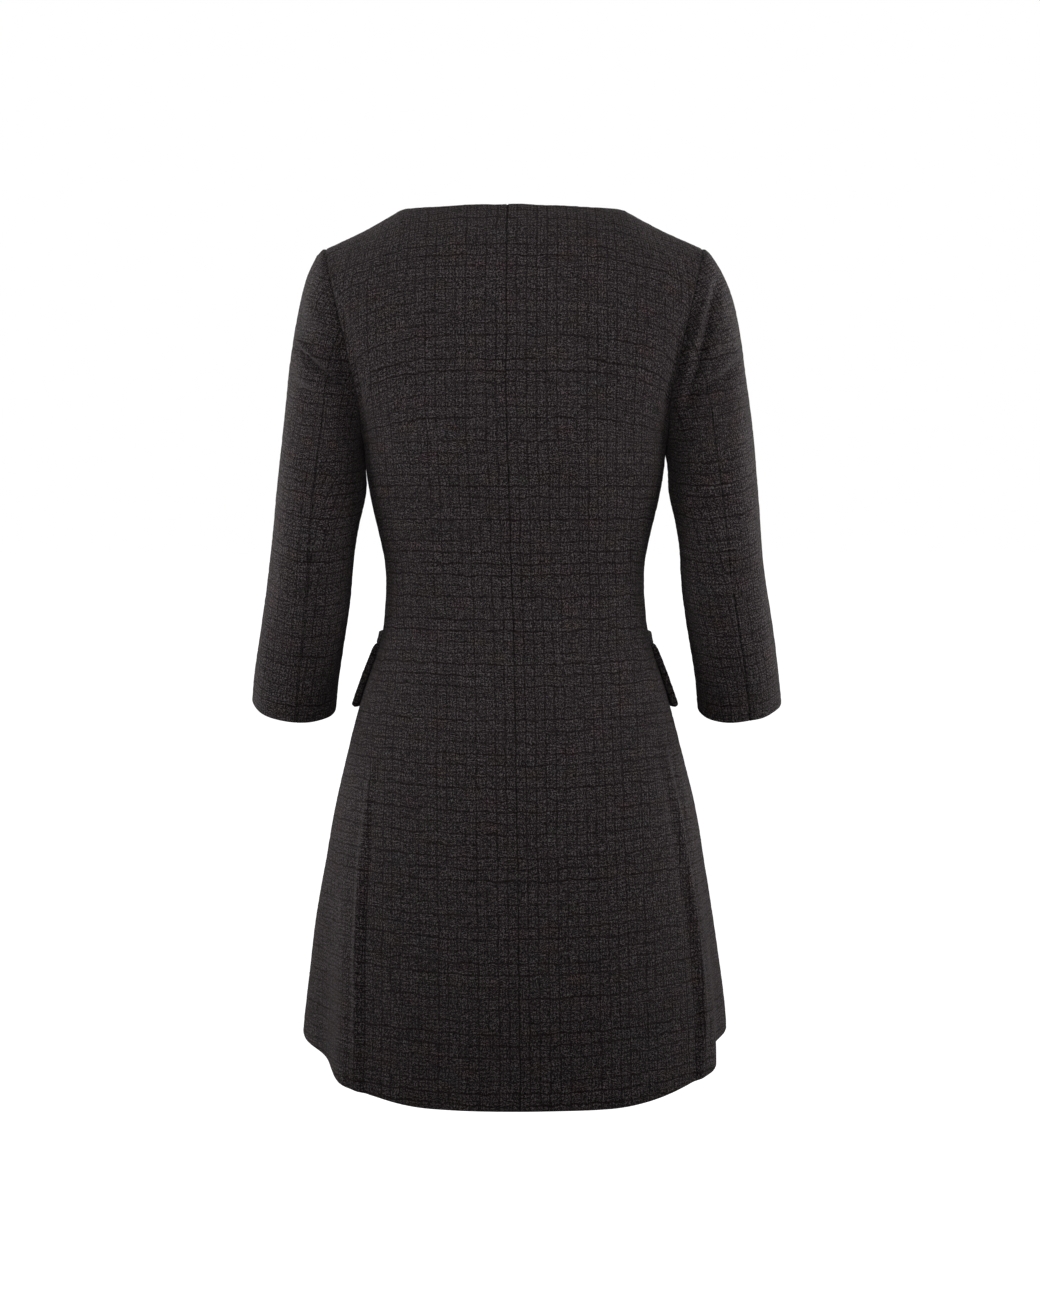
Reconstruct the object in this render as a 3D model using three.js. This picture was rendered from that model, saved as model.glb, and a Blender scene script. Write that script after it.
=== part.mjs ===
// Blazer dress in tweed: a collarless, knee-clearing A-line dress cut like a long jacket, with
// three-quarter two-piece sleeves, a single-breasted front and flapped side pockets.
// It stands filled out with nobody in it. Millimetres, +Z up, the front faces -Y, and +X is the
// wearer's left. The origin is on the centre line at shoulder height, where a wearer holds it up.
import * as THREE from 'three';

// ---- driving sizes -------------------------------------------------------------------------

const CLOTH = 2.4;              // thickness of the tweed wall
const SEAM = 0.3;               // gap between two pieces at a seam
const ARMHOLE_SEAM = 0.5;       // gap between a panel and the sleeve set into it

const UNDERARM_Z = -215;        // foot of the armhole
const CHEST_Z = -110;           // widest level of the armhole, where the shoulder starts to round over
const SHOULDER_Y = 6;           // fore-and-aft place of the shoulder seam
const SHOULDER_TIP = { x: 183, z: -26 };
const SHOULDER_DIP = 2;         // hollow of the shoulder seam between neck and tip
const NECK = { half: 108, z: 10, back: 44, front: 94, drop: 88, shift: 7 };
const NECK_STEADY = 0.9;        // share of the neckline's shift that is gone at the shoulder tip
const NECK_SHARE = 0.71;        // part of a panel's top edge that the neckline takes
const NECK_CROWD = 1.3;         // how the columns crowd towards the middle of the neckline
const NECK_RUN = { back: 0.75, front: 1.6 };   // how steeply the cloth runs up to its middle
const SHOULDER_PULL = 1.1;      // how far the cloth runs on before it rounds over the shoulder
const ARMHOLE_DEPTH = { back: 58, front: 50 };
const EDGE_PULL = 2.4;          // how closely the columns near the armhole follow it

const HEM = { back: -832, front: -824 };
const HEM_SIDE = { left: { z: -803, from: 25 }, right: { z: -804, from: 28 } };   // it rises there
const LAP = 22;                 // how far each front runs past the centre line
const LAP_RISE = 3.4;           // how far the upper front stands off the lower one
const LAP_EASE = 34;            // width over which it comes down to the body again

// The body's sections. half: half-width behind; chest: half-width in front; back, front: places of
// the centre lines; side: place of the widest line; backBox, frontBox: squareness of each half;
// drift: how far the centre back seam wanders to the wearer's left.
const TORSO_COLUMNS = ['z', 'half', 'chest', 'back', 'front', 'side', 'backBox', 'frontBox', 'drift'];
const TORSO = [
  [-860, 218, 218, 176, -168, 2, 2.45, 2.4, -5],
  [-817, 215.5, 215.5, 169.5, -163, 2, 2.45, 2.4, -5],
  [-780, 212.5, 212.5, 162, -157, 2, 2.45, 2.4, -5],
  [-717, 205.3, 205.3, 150, -146, 1, 2.4, 2.35, -4],
  [-634, 191.5, 191.5, 133, -133, 0, 2.35, 2.3, -3],
  [-572, 180.5, 180.5, 120, -122, -2, 2.35, 2.3, -2],
  [-511, 165.5, 165.5, 104, -110, -4, 2.3, 2.25, -1],
  [-450, 148, 148, 86, -101, -6, 2.3, 2.2, 0],
  [-410, 135.5, 135.5, 74, -98, -8, 2.3, 2.2, 1],
  [-370, 130, 130, 68, -98, -8, 2.3, 2.2, 2],
  [-350, 129.3, 129.3, 68.5, -100, -8, 2.3, 2.2, 3],
  [-330, 130.5, 130.5, 70, -104, -7, 2.3, 2.25, 3.5],
  [-310, 134, 134, 73.5, -110, -5, 2.35, 2.3, 4],
  [-270, 142.5, 142.5, 82, -122, -2, 2.4, 2.4, 5],
  [-240, 147, 147, 89, -126, 1, 2.5, 2.4, 6],
  [-215, 149.2, 149.2, 94, -123, 3, 2.6, 2.35, 7],
  [-173, 160.5, 156, 98, -113, 4, 2.7, 2.3, 8],
  [-146, 170, 162.5, 99, -106, 4, 2.75, 2.3, 8],
  [-110, 181.5, 172, 98, -98, 4, 2.8, 2.3, 8],
  [-80, 189, 180, 95, -92, 4, 2.8, 2.3, 8],
];

// Soft bust shaping that the front takes from its darts.
const BUST = { x: 82, z: -236, rise: 9, wide: 46, high: 52 };

// The skirt's largest folds. part: +1 back, -1 front; hand: +1 wearer's left, -1 right; top: where
// the fold starts; upper, middle, lower: its angle from the centre line at three heights, in
// degrees; crest and hollow: how far it stands out and sinks at the hem; apart: angle from crest
// to hollow.
const FLUTE_COLUMNS = ['part', 'hand', 'top', 'upper', 'middle', 'lower', 'crest', 'hollow', 'apart'];
const FLUTES = [
  [1, 1, -500, 62, 56, 51, 7, 12, 15],
  [1, -1, -490, 61, 65, 60, 7, 11, 13],
  [-1, 1, -560, 50, 49, 47, 6, 8, 17],
  [-1, -1, -540, 46, 47, 50, 6, 9, 16],
];
const CREST_WIDTH = 5.5;        // spread of a crest, degrees
const HOLLOW_WIDTH = 8;         // spread of a hollow, degrees
const SIDE_CALM = 9;            // degrees next to the side seam over which the folds die away

// The sleeve's rings, from armhole to cuff, given for the wearer's left. innerX, innerZ: the edge
// nearest the body; outerX, outerZ: the outer edge; mid: fore-and-aft place; deep: half the
// sleeve's depth; tilt: degrees that the ring's back leans down; rightOut: how much further from
// the body the right sleeve hangs.
const SLEEVE_COLUMNS = ['innerX', 'innerZ', 'outerX', 'outerZ', 'mid', 'deep', 'tilt', 'rightOut'];
const SLEEVE = [
  [149.7, -215, 183.5, -26, 4, 54, 0, 0],
  [150.1, -221, 189, -29, 4.5, 54.5, 0, 0.3],
  [149.8, -228, 198, -43, 5, 55.5, 0, 1],
  [149.2, -237, 206.5, -66, 5.5, 56, 0, 3],
  [148.2, -247, 213.3, -95, 6, 56, 0, 4.5],
  [147.4, -258, 218.7, -127, 6.5, 55.5, 0, 5.5],
  [148.9, -270, 223.6, -163, 7, 54.5, 0, 5.5],
  [152, -284, 228.3, -202, 8, 53.5, 0, 5.5],
  [155.5, -300, 233, -242, 8.5, 52.5, 0, 5],
  [159, -320, 237, -280, 8, 51.5, 1, 4.5],
  [162, -344, 241.5, -318, 6, 50.5, 2, 3.5],
  [165, -370, 247, -353, 2, 49.5, 5, 3.5],
  [169.5, -398, 254, -388, -5, 48, 8, 3.5],
  [175, -427, 260.5, -421, -13, 46.5, 11, 3.5],
  [180.5, -457, 265.5, -450, -21, 45, 14, 3.5],
  [184, -485.5, 269, -474.5, -29, 43.5, 16, 3.5],
];
const SLEEVE_RINGS = SLEEVE.length - 1;
const CAP_RINGS = 6;            // rings over which the armhole's own shape fades out
const BACK_SEAM = 90;           // degrees round from the underarm, towards the back
const FRONT_SEAM = -60;
const SEAM_TURN = { left: -10, right: 7 };   // how far the seams wander by the cuff

// Pockets, on the front panels next to the side seam.
const POCKET = { rear: 88.5, fore: 38, slope: 4 };        // angles from the centre line; fall to the rear
const WELT = { top: -399, high: 13, thick: 3.6, off: 1.2 };
const FLAP = { top: -414.5, high: 64, thick: 5.2, off: 1.2 };
const FLAP_FLARE = { rear: 4.6, fore: 1.8 };              // how far its lower edge stands off
const FLAP_CORNER = { rear: 3, fore: 9, from: 0.78 };     // how far its rounded ends are cut up

// Front buttons, on the centre line.
const BUTTONS = { count: 6, top: -98, step: 108, radius: 11.5, thick: 4.2, rim: 1.2, off: 0.9 };
const BUTTON_FOOT = 0.86;       // its parts as shares of the radius
const BUTTON_TOP = 0.94;
const BUTTON_LIP = 0.74;
const BUTTON_DISH = 0.6;

const SKIRT_ROWS = 20;          // facets from hem to underarm
const WAIST_ROW = 15;           // the row, counted from the hem, where a panel's two solids meet
const ARMHOLE_ROWS = 6;         // facets in each half of the armhole
const NECK_COLUMNS = 9;         // facets of a panel from the centre line to the neck point
const SHOULDER_COLUMNS = 4;     // and from there to the side
const LAP_COLUMNS = 2;
const SLEEVE_FACET = 15;        // degrees round a sleeve
const POCKET_COLUMNS = 9;
const FLAP_ROWS = 4;

// ---- smooth tables and small helpers --------------------------------------------------------

const rad = THREE.MathUtils.degToRad;
const lerp = THREE.MathUtils.lerp;
const smoothstep = THREE.MathUtils.smoothstep;

// A smooth curve through each column of a table, read at any value of its key.
function curves(columns, rows, keys) {
  const slope = (i, c) => {
    const a = Math.max(i - 1, 0);
    const b = Math.min(i + 1, rows.length - 1);
    return (rows[b][c] - rows[a][c]) / (keys[b] - keys[a]);
  };
  return (key) => {
    let i = 0;
    while (i < keys.length - 2 && key > keys[i + 1]) i += 1;
    const step = keys[i + 1] - keys[i];
    const t = (key - keys[i]) / step;
    const value = {};
    columns.forEach((name, c) => {
      const a = rows[i][c];
      const b = rows[i + 1][c];
      if (t < 0) value[name] = a + slope(i, c) * t * step;
      else if (t > 1) value[name] = b + slope(i + 1, c) * (t - 1) * step;
      else value[name] = hermite(a, slope(i, c) * step, b, slope(i + 1, c) * step, t);
    });
    return value;
  };
}

function hermite(a, da, b, db, t) {
  const t2 = t * t;
  const t3 = t2 * t;
  return (2 * t3 - 3 * t2 + 1) * a + (t3 - 2 * t2 + t) * da + (3 * t2 - 2 * t3) * b + (t3 - t2) * db;
}

function hermitePoint(a, da, b, db, t) {
  return new THREE.Vector3(
    hermite(a.x, da.x, b.x, db.x, t),
    hermite(a.y, da.y, b.y, db.y, t),
    hermite(a.z, da.z, b.z, db.z, t),
  );
}

function bell(distance, spread) {
  return Math.exp(-((distance / spread) ** 2));
}

function steps(from, to, count) {
  return Array.from({ length: count + 1 }, (unused, i) => lerp(from, to, i / count));
}

const torsoAt = curves(TORSO_COLUMNS, TORSO, TORSO.map((row) => row[0]));
const sleeveAt = curves(SLEEVE_COLUMNS, SLEEVE, SLEEVE.map((row, i) => i));

// ---- cloth walls ----------------------------------------------------------------------------

// A closed wall of cloth: place(u, v) gives its outer face, and the inner face lies `thick` behind
// it. facing is +1 where u x v points out of the garment, else -1. The normals are taken across
// the neighbouring points, one step past the edges too, so that walls meet square at a seam.
function wall(us, vs, place, facing, thick = CLOTH) {
  const outer = us.map((u) => vs.map((v) => place(u, v)));
  const across = (list, i, d) => list[i + d] ?? 2 * list[i] - list[i - d];
  const vertices = [];
  outer.forEach((column) => column.forEach((point) => vertices.push(point.x, point.y, point.z)));
  us.forEach((u, i) => vs.forEach((v, j) => {
    const alongU = place(across(us, i, 1), v).sub(place(across(us, i, -1), v));
    const alongV = place(u, across(vs, j, 1)).sub(place(u, across(vs, j, -1)));
    const normal = alongU.cross(alongV).normalize().multiplyScalar(facing * thick);
    const point = outer[i][j].clone().sub(normal);
    vertices.push(point.x, point.y, point.z);
  }));
  return closedGrid(us.length, vs.length, vertices, facing);
}

// Joins two grids of points, outer first and then inner, into one closed shell.
function closedGrid(nu, nv, vertices, facing) {
  const faces = [];
  const quad = (a, b, c, d) => {
    if (facing > 0) faces.push(a, b, c, a, c, d);
    else faces.push(a, c, b, a, d, c);
  };
  const out = (i, j) => i * nv + j;
  const inn = (i, j) => nu * nv + i * nv + j;
  for (let i = 0; i < nu - 1; i += 1) {
    for (let j = 0; j < nv - 1; j += 1) {
      quad(out(i, j), out(i + 1, j), out(i + 1, j + 1), out(i, j + 1));
      quad(inn(i, j), inn(i, j + 1), inn(i + 1, j + 1), inn(i + 1, j));
    }
  }
  for (let i = 0; i < nu - 1; i += 1) {
    quad(out(i, 0), inn(i, 0), inn(i + 1, 0), out(i + 1, 0));
    quad(out(i, nv - 1), out(i + 1, nv - 1), inn(i + 1, nv - 1), inn(i, nv - 1));
  }
  for (let j = 0; j < nv - 1; j += 1) {
    quad(out(0, j), out(0, j + 1), inn(0, j + 1), inn(0, j));
    quad(out(nu - 1, j), inn(nu - 1, j), inn(nu - 1, j + 1), out(nu - 1, j + 1));
  }
  const geometry = new THREE.BufferGeometry();
  geometry.setAttribute('position', new THREE.Float32BufferAttribute(vertices, 3));
  geometry.setIndex(faces);
  geometry.computeVertexNormals();
  return geometry;
}

// ---- the body's surface ---------------------------------------------------------------------

// How far the folds push the skirt out at an angle (degrees) and height.
function fluteRise(part, turn, z) {
  let rise = 0;
  FLUTES.forEach((row) => {
    const fold = Object.fromEntries(FLUTE_COLUMNS.map((name, i) => [name, row[i]]));
    if (fold.part !== part) return;
    const along = Math.max(0, (fold.top - z) / (fold.top - HEM.back));
    const middle = 4 * along * (1 - along);
    const angle = fold.hand * (lerp(fold.upper, fold.lower, along)
      + (fold.middle - (fold.upper + fold.lower) / 2) * middle);
    const grow = smoothstep(along, 0, 1) * Math.sqrt(along);
    rise += grow * (fold.crest * bell(turn - angle, CREST_WIDTH)
      - fold.hollow * bell(turn - angle - fold.hand * fold.apart, HOLLOW_WIDTH));
  });
  return rise * (1 - bell(90 - Math.abs(turn), SIDE_CALM));
}

// The point of the body at an angle from the centre line (radians, + to the wearer's left).
function bodyPoint(part, turn, z) {
  const row = torsoAt(z);
  const half = part > 0 ? row.half : row.chest;
  const deep = part > 0 ? row.back - row.side : row.side - row.front;
  const box = part > 0 ? row.backBox : row.frontBox;
  const sin = Math.sin(turn);
  const cos = Math.cos(turn);
  const reach = (Math.abs(sin / half) ** box + Math.abs(cos / deep) ** box) ** (-1 / box);
  const radius = reach + fluteRise(part, THREE.MathUtils.radToDeg(turn), z);
  const x = radius * sin;
  let y = row.side + part * radius * cos;
  if (part < 0) {
    const swell = bell(x - BUST.x, BUST.wide) + bell(x + BUST.x, BUST.wide);
    y -= BUST.rise * bell(z - BUST.z, BUST.high) * swell;
  }
  const drift = part > 0 ? row.drift * Math.max(cos, 0) ** 2 : 0;
  return new THREE.Vector3(x + drift, y, z);
}

function hemAt(part, turn) {
  const side = turn > 0 ? HEM_SIDE.left : HEM_SIDE.right;
  const rise = smoothstep(THREE.MathUtils.radToDeg(Math.abs(turn)), side.from, 88);
  return lerp(part > 0 ? HEM.back : HEM.front, side.z, rise);
}

// The angle at which the armhole cuts the body at a level of its lower half; level runs from 0 at
// the underarm to 0.5 at the chest.
function armholeTurn(part, level) {
  const swing = Math.PI * (0.5 - level);
  const z = lerp(CHEST_Z, UNDERARM_Z, Math.sin(swing));
  const row = torsoAt(z);
  const half = part > 0 ? row.half : row.chest;
  const deep = part > 0 ? row.back - row.side : row.side - row.front;
  const box = part > 0 ? row.backBox : row.frontBox;
  const y = (part > 0 ? ARMHOLE_DEPTH.back : ARMHOLE_DEPTH.front) * Math.cos(swing);
  const x = half * (1 - (y / deep) ** box) ** (1 / box);
  return { turn: Math.atan2(x, y), z };
}

// The top edge: the neckline from the centre (0) to the neck point, then the shoulder seam to the
// tip (1).
function topPoint(part, across) {
  const side = Math.sign(across) || 1;
  const share = Math.abs(across);
  const shift = NECK.shift * (1 - NECK_STEADY * share);
  if (share <= NECK_SHARE) {
    const angle = (Math.PI / 2) * (share / NECK_SHARE) ** NECK_CROWD;
    const x = NECK.half * Math.sin(angle);
    const deep = part > 0 ? NECK.back : -NECK.front;
    const drop = part > 0 ? 0 : NECK.drop;
    const cos = Math.cos(angle);
    return new THREE.Vector3(side * x + shift, SHOULDER_Y + deep * cos, NECK.z - drop * cos);
  }
  const along = (share - NECK_SHARE) / (1 - NECK_SHARE);
  return new THREE.Vector3(
    side * lerp(NECK.half, SHOULDER_TIP.x, along) + shift,
    SHOULDER_Y,
    lerp(NECK.z, SHOULDER_TIP.z, along) - SHOULDER_DIP * Math.sin(Math.PI * Math.min(along, 1)),
  );
}

// The way the cloth runs as it reaches the top edge: level over the shoulder, steeper at the
// centre of the neckline.
function topRun(part, across) {
  const share = Math.min(1, Math.abs(across) / NECK_SHARE);
  const rise = part > 0 ? NECK_RUN.back : NECK_RUN.front;
  return new THREE.Vector3(0, -part, rise * (1 - share ** 2)).normalize();
}

const CHEST_STEP = 0.04;        // how far under the chest its slope is taken

// The place of a panel's point. across: 0 at the centre line, 1 at the side seam or armhole, below
// 0 in the lap. level: 0 at the hem, 1 at the underarm, 1.5 at the chest, 2 at the top edge.
function panelPoint(part, hand, across, level) {
  const chestLevel = Math.min(level, 1.5);
  const cut = chestLevel > 1 ? armholeTurn(part, chestLevel - 1) : { turn: Math.PI / 2 };
  let turn = hand * (across * (Math.PI / 2) - (Math.PI / 2 - cut.turn) * Math.abs(across) ** EDGE_PULL);
  let z = cut.z;
  if (across < 0) {
    const row = torsoAt(z ?? lerp(HEM.front, UNDERARM_Z, chestLevel));
    turn = hand * Math.atan2(across * LAP, row.side - row.front);
  }
  if (chestLevel <= 1) z = lerp(hemAt(part, turn), UNDERARM_Z, chestLevel);
  const point = bodyPoint(part, turn, z);
  if (level <= 1.5) return point;

  const below = panelPoint(part, hand, across, 1.5 - CHEST_STEP);
  const share = across < 0 ? (across * LAP * NECK_SHARE) / NECK.half : across;
  const top = topPoint(part, hand * share);
  const reach = SHOULDER_PULL * top.distanceTo(point);
  const start = point.clone().sub(below).normalize().multiplyScalar(reach);
  const finish = topRun(part, share).multiplyScalar(reach);
  return hermitePoint(point, start, top, finish, 2 * (level - 1.5));
}

// ---- panels ---------------------------------------------------------------------------------

// Each panel is one length of cloth from shoulder to hem. Its solid is in two parts, a skirt and a
// bodice, that meet at the waist with a seam's gap between them.
const WAIST = WAIST_ROW / SKIRT_ROWS;
const WAIST_GAP = SEAM / 2 / (UNDERARM_Z - HEM.back);
const LEVELS = {
  skirt: [...steps(0, WAIST, WAIST_ROW).slice(0, -1), WAIST - WAIST_GAP],
  bodice: [
    WAIST + WAIST_GAP,
    ...steps(WAIST, 1, SKIRT_ROWS - WAIST_ROW).slice(1),
    ...steps(1, 1.5, ARMHOLE_ROWS).slice(1),
    ...steps(1.5, 2, ARMHOLE_ROWS).slice(1),
  ],
};

// Draws a panel's edges back from the seams: half a gap at the side or centre, and at the top.
function eased(part, hand, across, level) {
  const point = panelPoint(part, hand, across, level);
  const atSide = across > 0.5 && level <= 1;
  if (atSide) point.y += (part * SEAM * smoothstep(across, 0.5, 1)) / 2;
  if (part > 0) point.x += (hand * SEAM * (1 - smoothstep(across, 0, 0.5))) / 2;
  if (level > 1.5) point.y += (part * SEAM * smoothstep(level, 1.5, 2)) / 2;
  return point;
}

const COLUMNS = [
  ...steps(0, NECK_SHARE, NECK_COLUMNS),
  ...steps(NECK_SHARE, 1, SHOULDER_COLUMNS).slice(1),
];

function backPanel(hand, stretch) {
  return wall(COLUMNS, LEVELS[stretch], (u, v) => eased(1, hand, u, v), -hand);
}

// The wearer's right front laps over the left one.
function frontPanel(hand, stretch) {
  const columns = [...steps(-1, 0, LAP_COLUMNS), ...COLUMNS.slice(1)];
  const place = (u, v) => {
    const point = eased(-1, hand, u, v);
    if (hand < 0) point.y -= LAP_RISE * (1 - smoothstep(-point.x, LAP + 4, LAP + 4 + LAP_EASE));
    return point;
  };
  return wall(columns, LEVELS[stretch], place, hand);
}

// ---- sleeves --------------------------------------------------------------------------------

// The armhole as a closed ring: 0 at the underarm, 90 at the back, 180 at the shoulder.
function armholePoint(hand, angle) {
  const wrapped = THREE.MathUtils.euclideanModulo(angle + 180, 360) - 180;
  const part = wrapped >= 0 ? 1 : -1;
  const point = panelPoint(part, hand, 1, 1 + Math.abs(wrapped) / 180);
  point.x += hand * ARMHOLE_SEAM;
  return point;
}

function ringPoint(hand, angle, ring) {
  const row = sleeveAt(ring);
  const out = hand < 0 ? row.rightOut : 0;
  const inner = new THREE.Vector3(hand * (row.innerX + out), row.mid, row.innerZ);
  const outer = new THREE.Vector3(hand * (row.outerX + out), row.mid, row.outerZ);
  const centre = inner.clone().add(outer).multiplyScalar(0.5);
  const halfWidth = outer.sub(inner).multiplyScalar(0.5);
  const lean = rad(row.tilt);
  const halfDepth = new THREE.Vector3(0, row.deep * Math.cos(lean), -row.deep * Math.sin(lean));
  return centre
    .addScaledVector(halfWidth, -Math.cos(rad(angle)))
    .addScaledVector(halfDepth, Math.sin(rad(angle)));
}

function sleevePoint(hand, angle, ring) {
  const wander = hand > 0 ? SEAM_TURN.left : SEAM_TURN.right;
  const turned = angle + wander * smoothstep(ring, CAP_RINGS, SLEEVE_RINGS);
  const point = ringPoint(hand, turned, ring);
  const fade = 1 - smoothstep(ring, 0, CAP_RINGS);
  const own = armholePoint(hand, angle).sub(ringPoint(hand, angle, 0));
  return point.addScaledVector(own, fade);
}

// A sleeve piece between two seams, given as angles round from the underarm.
function sleevePiece(hand, from, to) {
  const angles = steps(from, to, Math.round((to - from) / SLEEVE_FACET));
  const rings = steps(0, SLEEVE_RINGS, SLEEVE_RINGS);
  const middle = (from + to) / 2;
  const place = (angle, ring) => {
    const halfGap = THREE.MathUtils.radToDeg(SEAM / 2 / sleeveAt(ring).deep);
    return sleevePoint(hand, angle + (halfGap * (middle - angle)) / (middle - from), ring);
  };
  return wall(angles, rings, place, hand);
}

// ---- pockets --------------------------------------------------------------------------------

// A point of the front panel, pushed out from it square to its surface.
function frontRaised(hand, turn, z, off) {
  const around = (t, h) => bodyPoint(-1, hand * t, h);
  const aside = 0.02;           // radians
  const above = 2;
  const alongTurn = around(turn + aside, z).sub(around(turn - aside, z));
  const alongZ = around(turn, z + above).sub(around(turn, z - above));
  const normal = alongTurn.cross(alongZ).normalize().multiplyScalar(hand);
  return around(turn, z).addScaledVector(normal, off);
}

function pocketTurn(u) {
  return rad(lerp(POCKET.fore, POCKET.rear, u));
}

// A strip laid on the front panel: off(u, v) is its stand-off and thick its thickness.
function pocketStrip(hand, rows, heightAt, offAt, thick) {
  const place = (u, v) => frontRaised(hand, pocketTurn(u), heightAt(u, v), offAt(u, v) + thick);
  return wall(steps(0, 1, POCKET_COLUMNS), rows, place, -hand, thick);
}

function pocketWelt(hand) {
  const heightAt = (u, v) => WELT.top - POCKET.slope * u - WELT.high * v;
  return pocketStrip(hand, steps(0, 1, 1), heightAt, () => WELT.off, WELT.thick);
}

function pocketFlap(hand) {
  const heightAt = (u, v) => {
    const end = Math.max(0, Math.abs(2 * u - 1) - FLAP_CORNER.from) / (1 - FLAP_CORNER.from);
    const corner = u < 0.5 ? FLAP_CORNER.fore : FLAP_CORNER.rear;
    return FLAP.top - POCKET.slope * u - (FLAP.high - corner * end ** 2) * v;
  };
  const offAt = (u, v) => FLAP.off + lerp(FLAP_FLARE.fore, FLAP_FLARE.rear, u) * v;
  return pocketStrip(hand, steps(0, 1, FLAP_ROWS), heightAt, offAt, FLAP.thick);
}

// ---- buttons --------------------------------------------------------------------------------

function buttonGeometry() {
  const { radius, thick, rim } = BUTTONS;
  const profile = [
    [0, 0],
    [BUTTON_FOOT, 0],
    [1, thick / 2],
    [BUTTON_TOP, thick],
    [BUTTON_LIP, thick],
    [BUTTON_DISH, thick - rim],
    [0, thick - rim],
  ];
  return new THREE.LatheGeometry(profile.map(([share, h]) => new THREE.Vector2(share * radius, h)), 18);
}

// The point of the centre front at a height, found by halving the range of levels.
function centreFront(z) {
  let low = 0;
  let high = 2;
  for (let halving = 0; halving < 24; halving += 1) {
    const level = (low + high) / 2;
    if (panelPoint(-1, -1, 0, level).z < z) low = level;
    else high = level;
  }
  const point = panelPoint(-1, -1, 0, low);
  return new THREE.Vector3(0, point.y, z);
}

function buttonPlace(index) {
  const z = BUTTONS.top - index * BUTTONS.step;
  const here = centreFront(z);
  const slope = centreFront(z + BUTTONS.radius).sub(centreFront(z - BUTTONS.radius)).normalize();
  const normal = new THREE.Vector3(0, -slope.z, slope.y);
  here.y -= LAP_RISE;
  here.addScaledVector(normal, BUTTONS.off);
  return { here, normal };
}

// ---- the dress ------------------------------------------------------------------------------

const tweed = () => new THREE.MeshStandardMaterial({ color: 0x28231f, roughness: 0.95, metalness: 0 });
const plastic = () => new THREE.MeshStandardMaterial({ color: 0x17141a, roughness: 0.35, metalness: 0 });

const dress = new THREE.Group();

function add(name, geometry, material) {
  const mesh = new THREE.Mesh(geometry, material);
  mesh.name = name;
  dress.add(mesh);
  return mesh;
}

[[1, 'left'], [-1, 'right']].forEach(([hand, side]) => {
  ['bodice', 'skirt'].forEach((stretch) => {
    add(`back_${stretch}_${side}`, backPanel(hand, stretch), tweed());
    add(`front_${stretch}_${side}`, frontPanel(hand, stretch), tweed());
  });
  add(`upper_sleeve_${side}`, sleevePiece(hand, BACK_SEAM, 360 + FRONT_SEAM), tweed());
  add(`under_sleeve_${side}`, sleevePiece(hand, FRONT_SEAM, BACK_SEAM), tweed());
  add(`pocket_welt_${side}`, pocketWelt(hand), tweed());
  add(`pocket_flap_${side}`, pocketFlap(hand), tweed());
});

for (let index = 0; index < BUTTONS.count; index += 1) {
  const { here, normal } = buttonPlace(index);
  const button = add(`button_${index + 1}`, buttonGeometry(), plastic());
  button.position.copy(here);
  button.quaternion.setFromUnitVectors(new THREE.Vector3(0, 1, 0), normal);
}

export default dress;
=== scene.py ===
# Blazer dress in dark boucle tweed, filled out with nobody in it: the finished look of every piece.
# Metres, +Z up. The front faces -Y and +X is the wearer's left. Sizes in this file are in
# millimetres, and become metres when a mesh is made.
import math

import bmesh
import bpy
import numpy as np
from mathutils import Matrix, Vector
from mathutils.bvhtree import BVHTree


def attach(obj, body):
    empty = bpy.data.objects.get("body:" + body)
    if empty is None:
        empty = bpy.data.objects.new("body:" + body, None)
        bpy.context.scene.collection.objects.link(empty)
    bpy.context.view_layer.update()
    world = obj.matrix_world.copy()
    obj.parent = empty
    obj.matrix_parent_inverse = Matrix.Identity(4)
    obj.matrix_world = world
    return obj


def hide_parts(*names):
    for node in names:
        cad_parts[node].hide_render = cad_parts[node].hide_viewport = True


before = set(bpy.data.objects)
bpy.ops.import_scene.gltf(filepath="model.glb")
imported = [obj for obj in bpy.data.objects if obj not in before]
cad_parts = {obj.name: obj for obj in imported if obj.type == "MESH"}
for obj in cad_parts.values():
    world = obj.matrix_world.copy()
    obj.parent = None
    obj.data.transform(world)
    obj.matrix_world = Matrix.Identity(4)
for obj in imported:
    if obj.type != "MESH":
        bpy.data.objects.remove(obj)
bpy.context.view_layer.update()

# ---- Tweed --------------------------------------------------------------------------------------
# A dark charcoal wool boucle: looped yarns in a loose plain weave, with darker threads across and
# down at uneven distances, pale flecks, and faint patches of red, olive and blue fibre.
# Its nap takes the light softly and never shines.


def add_node(tree, kind, inputs=(), **settings):
    """Adds a shader or geometry node. inputs maps a socket's name or number to a value or a link."""
    made = tree.nodes.new(kind)
    for name, value in settings.items():
        setattr(made, name, value)
    for key, value in dict(inputs).items():
        if isinstance(value, bpy.types.NodeSocket):
            tree.links.new(value, made.inputs[key])
        else:
            made.inputs[key].default_value = value
    return made


def calc(tree, operation, *values, clamp=False):
    """The result of one Math node."""
    made = add_node(tree, "ShaderNodeMath", enumerate(values), operation=operation, use_clamp=clamp)
    return made.outputs[0]


def blend_colour(tree, share, a, b):
    """A colour between two others."""
    mix = add_node(tree, "ShaderNodeMix", data_type="RGBA", clamp_factor=True)
    for socket, value in ((mix.inputs[0], share), (mix.inputs[6], a), (mix.inputs[7], b)):
        if isinstance(value, bpy.types.NodeSocket):
            tree.links.new(value, socket)
        else:
            socket.default_value = value
    return mix.outputs[2]


def ramp(tree, value, low, high):
    """A soft step from 0 at low to 1 at high."""
    sockets = {0: value, 1: low, 2: high}
    return add_node(tree, "ShaderNodeMapRange", sockets, interpolation_type="SMOOTHSTEP").outputs[0]


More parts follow.
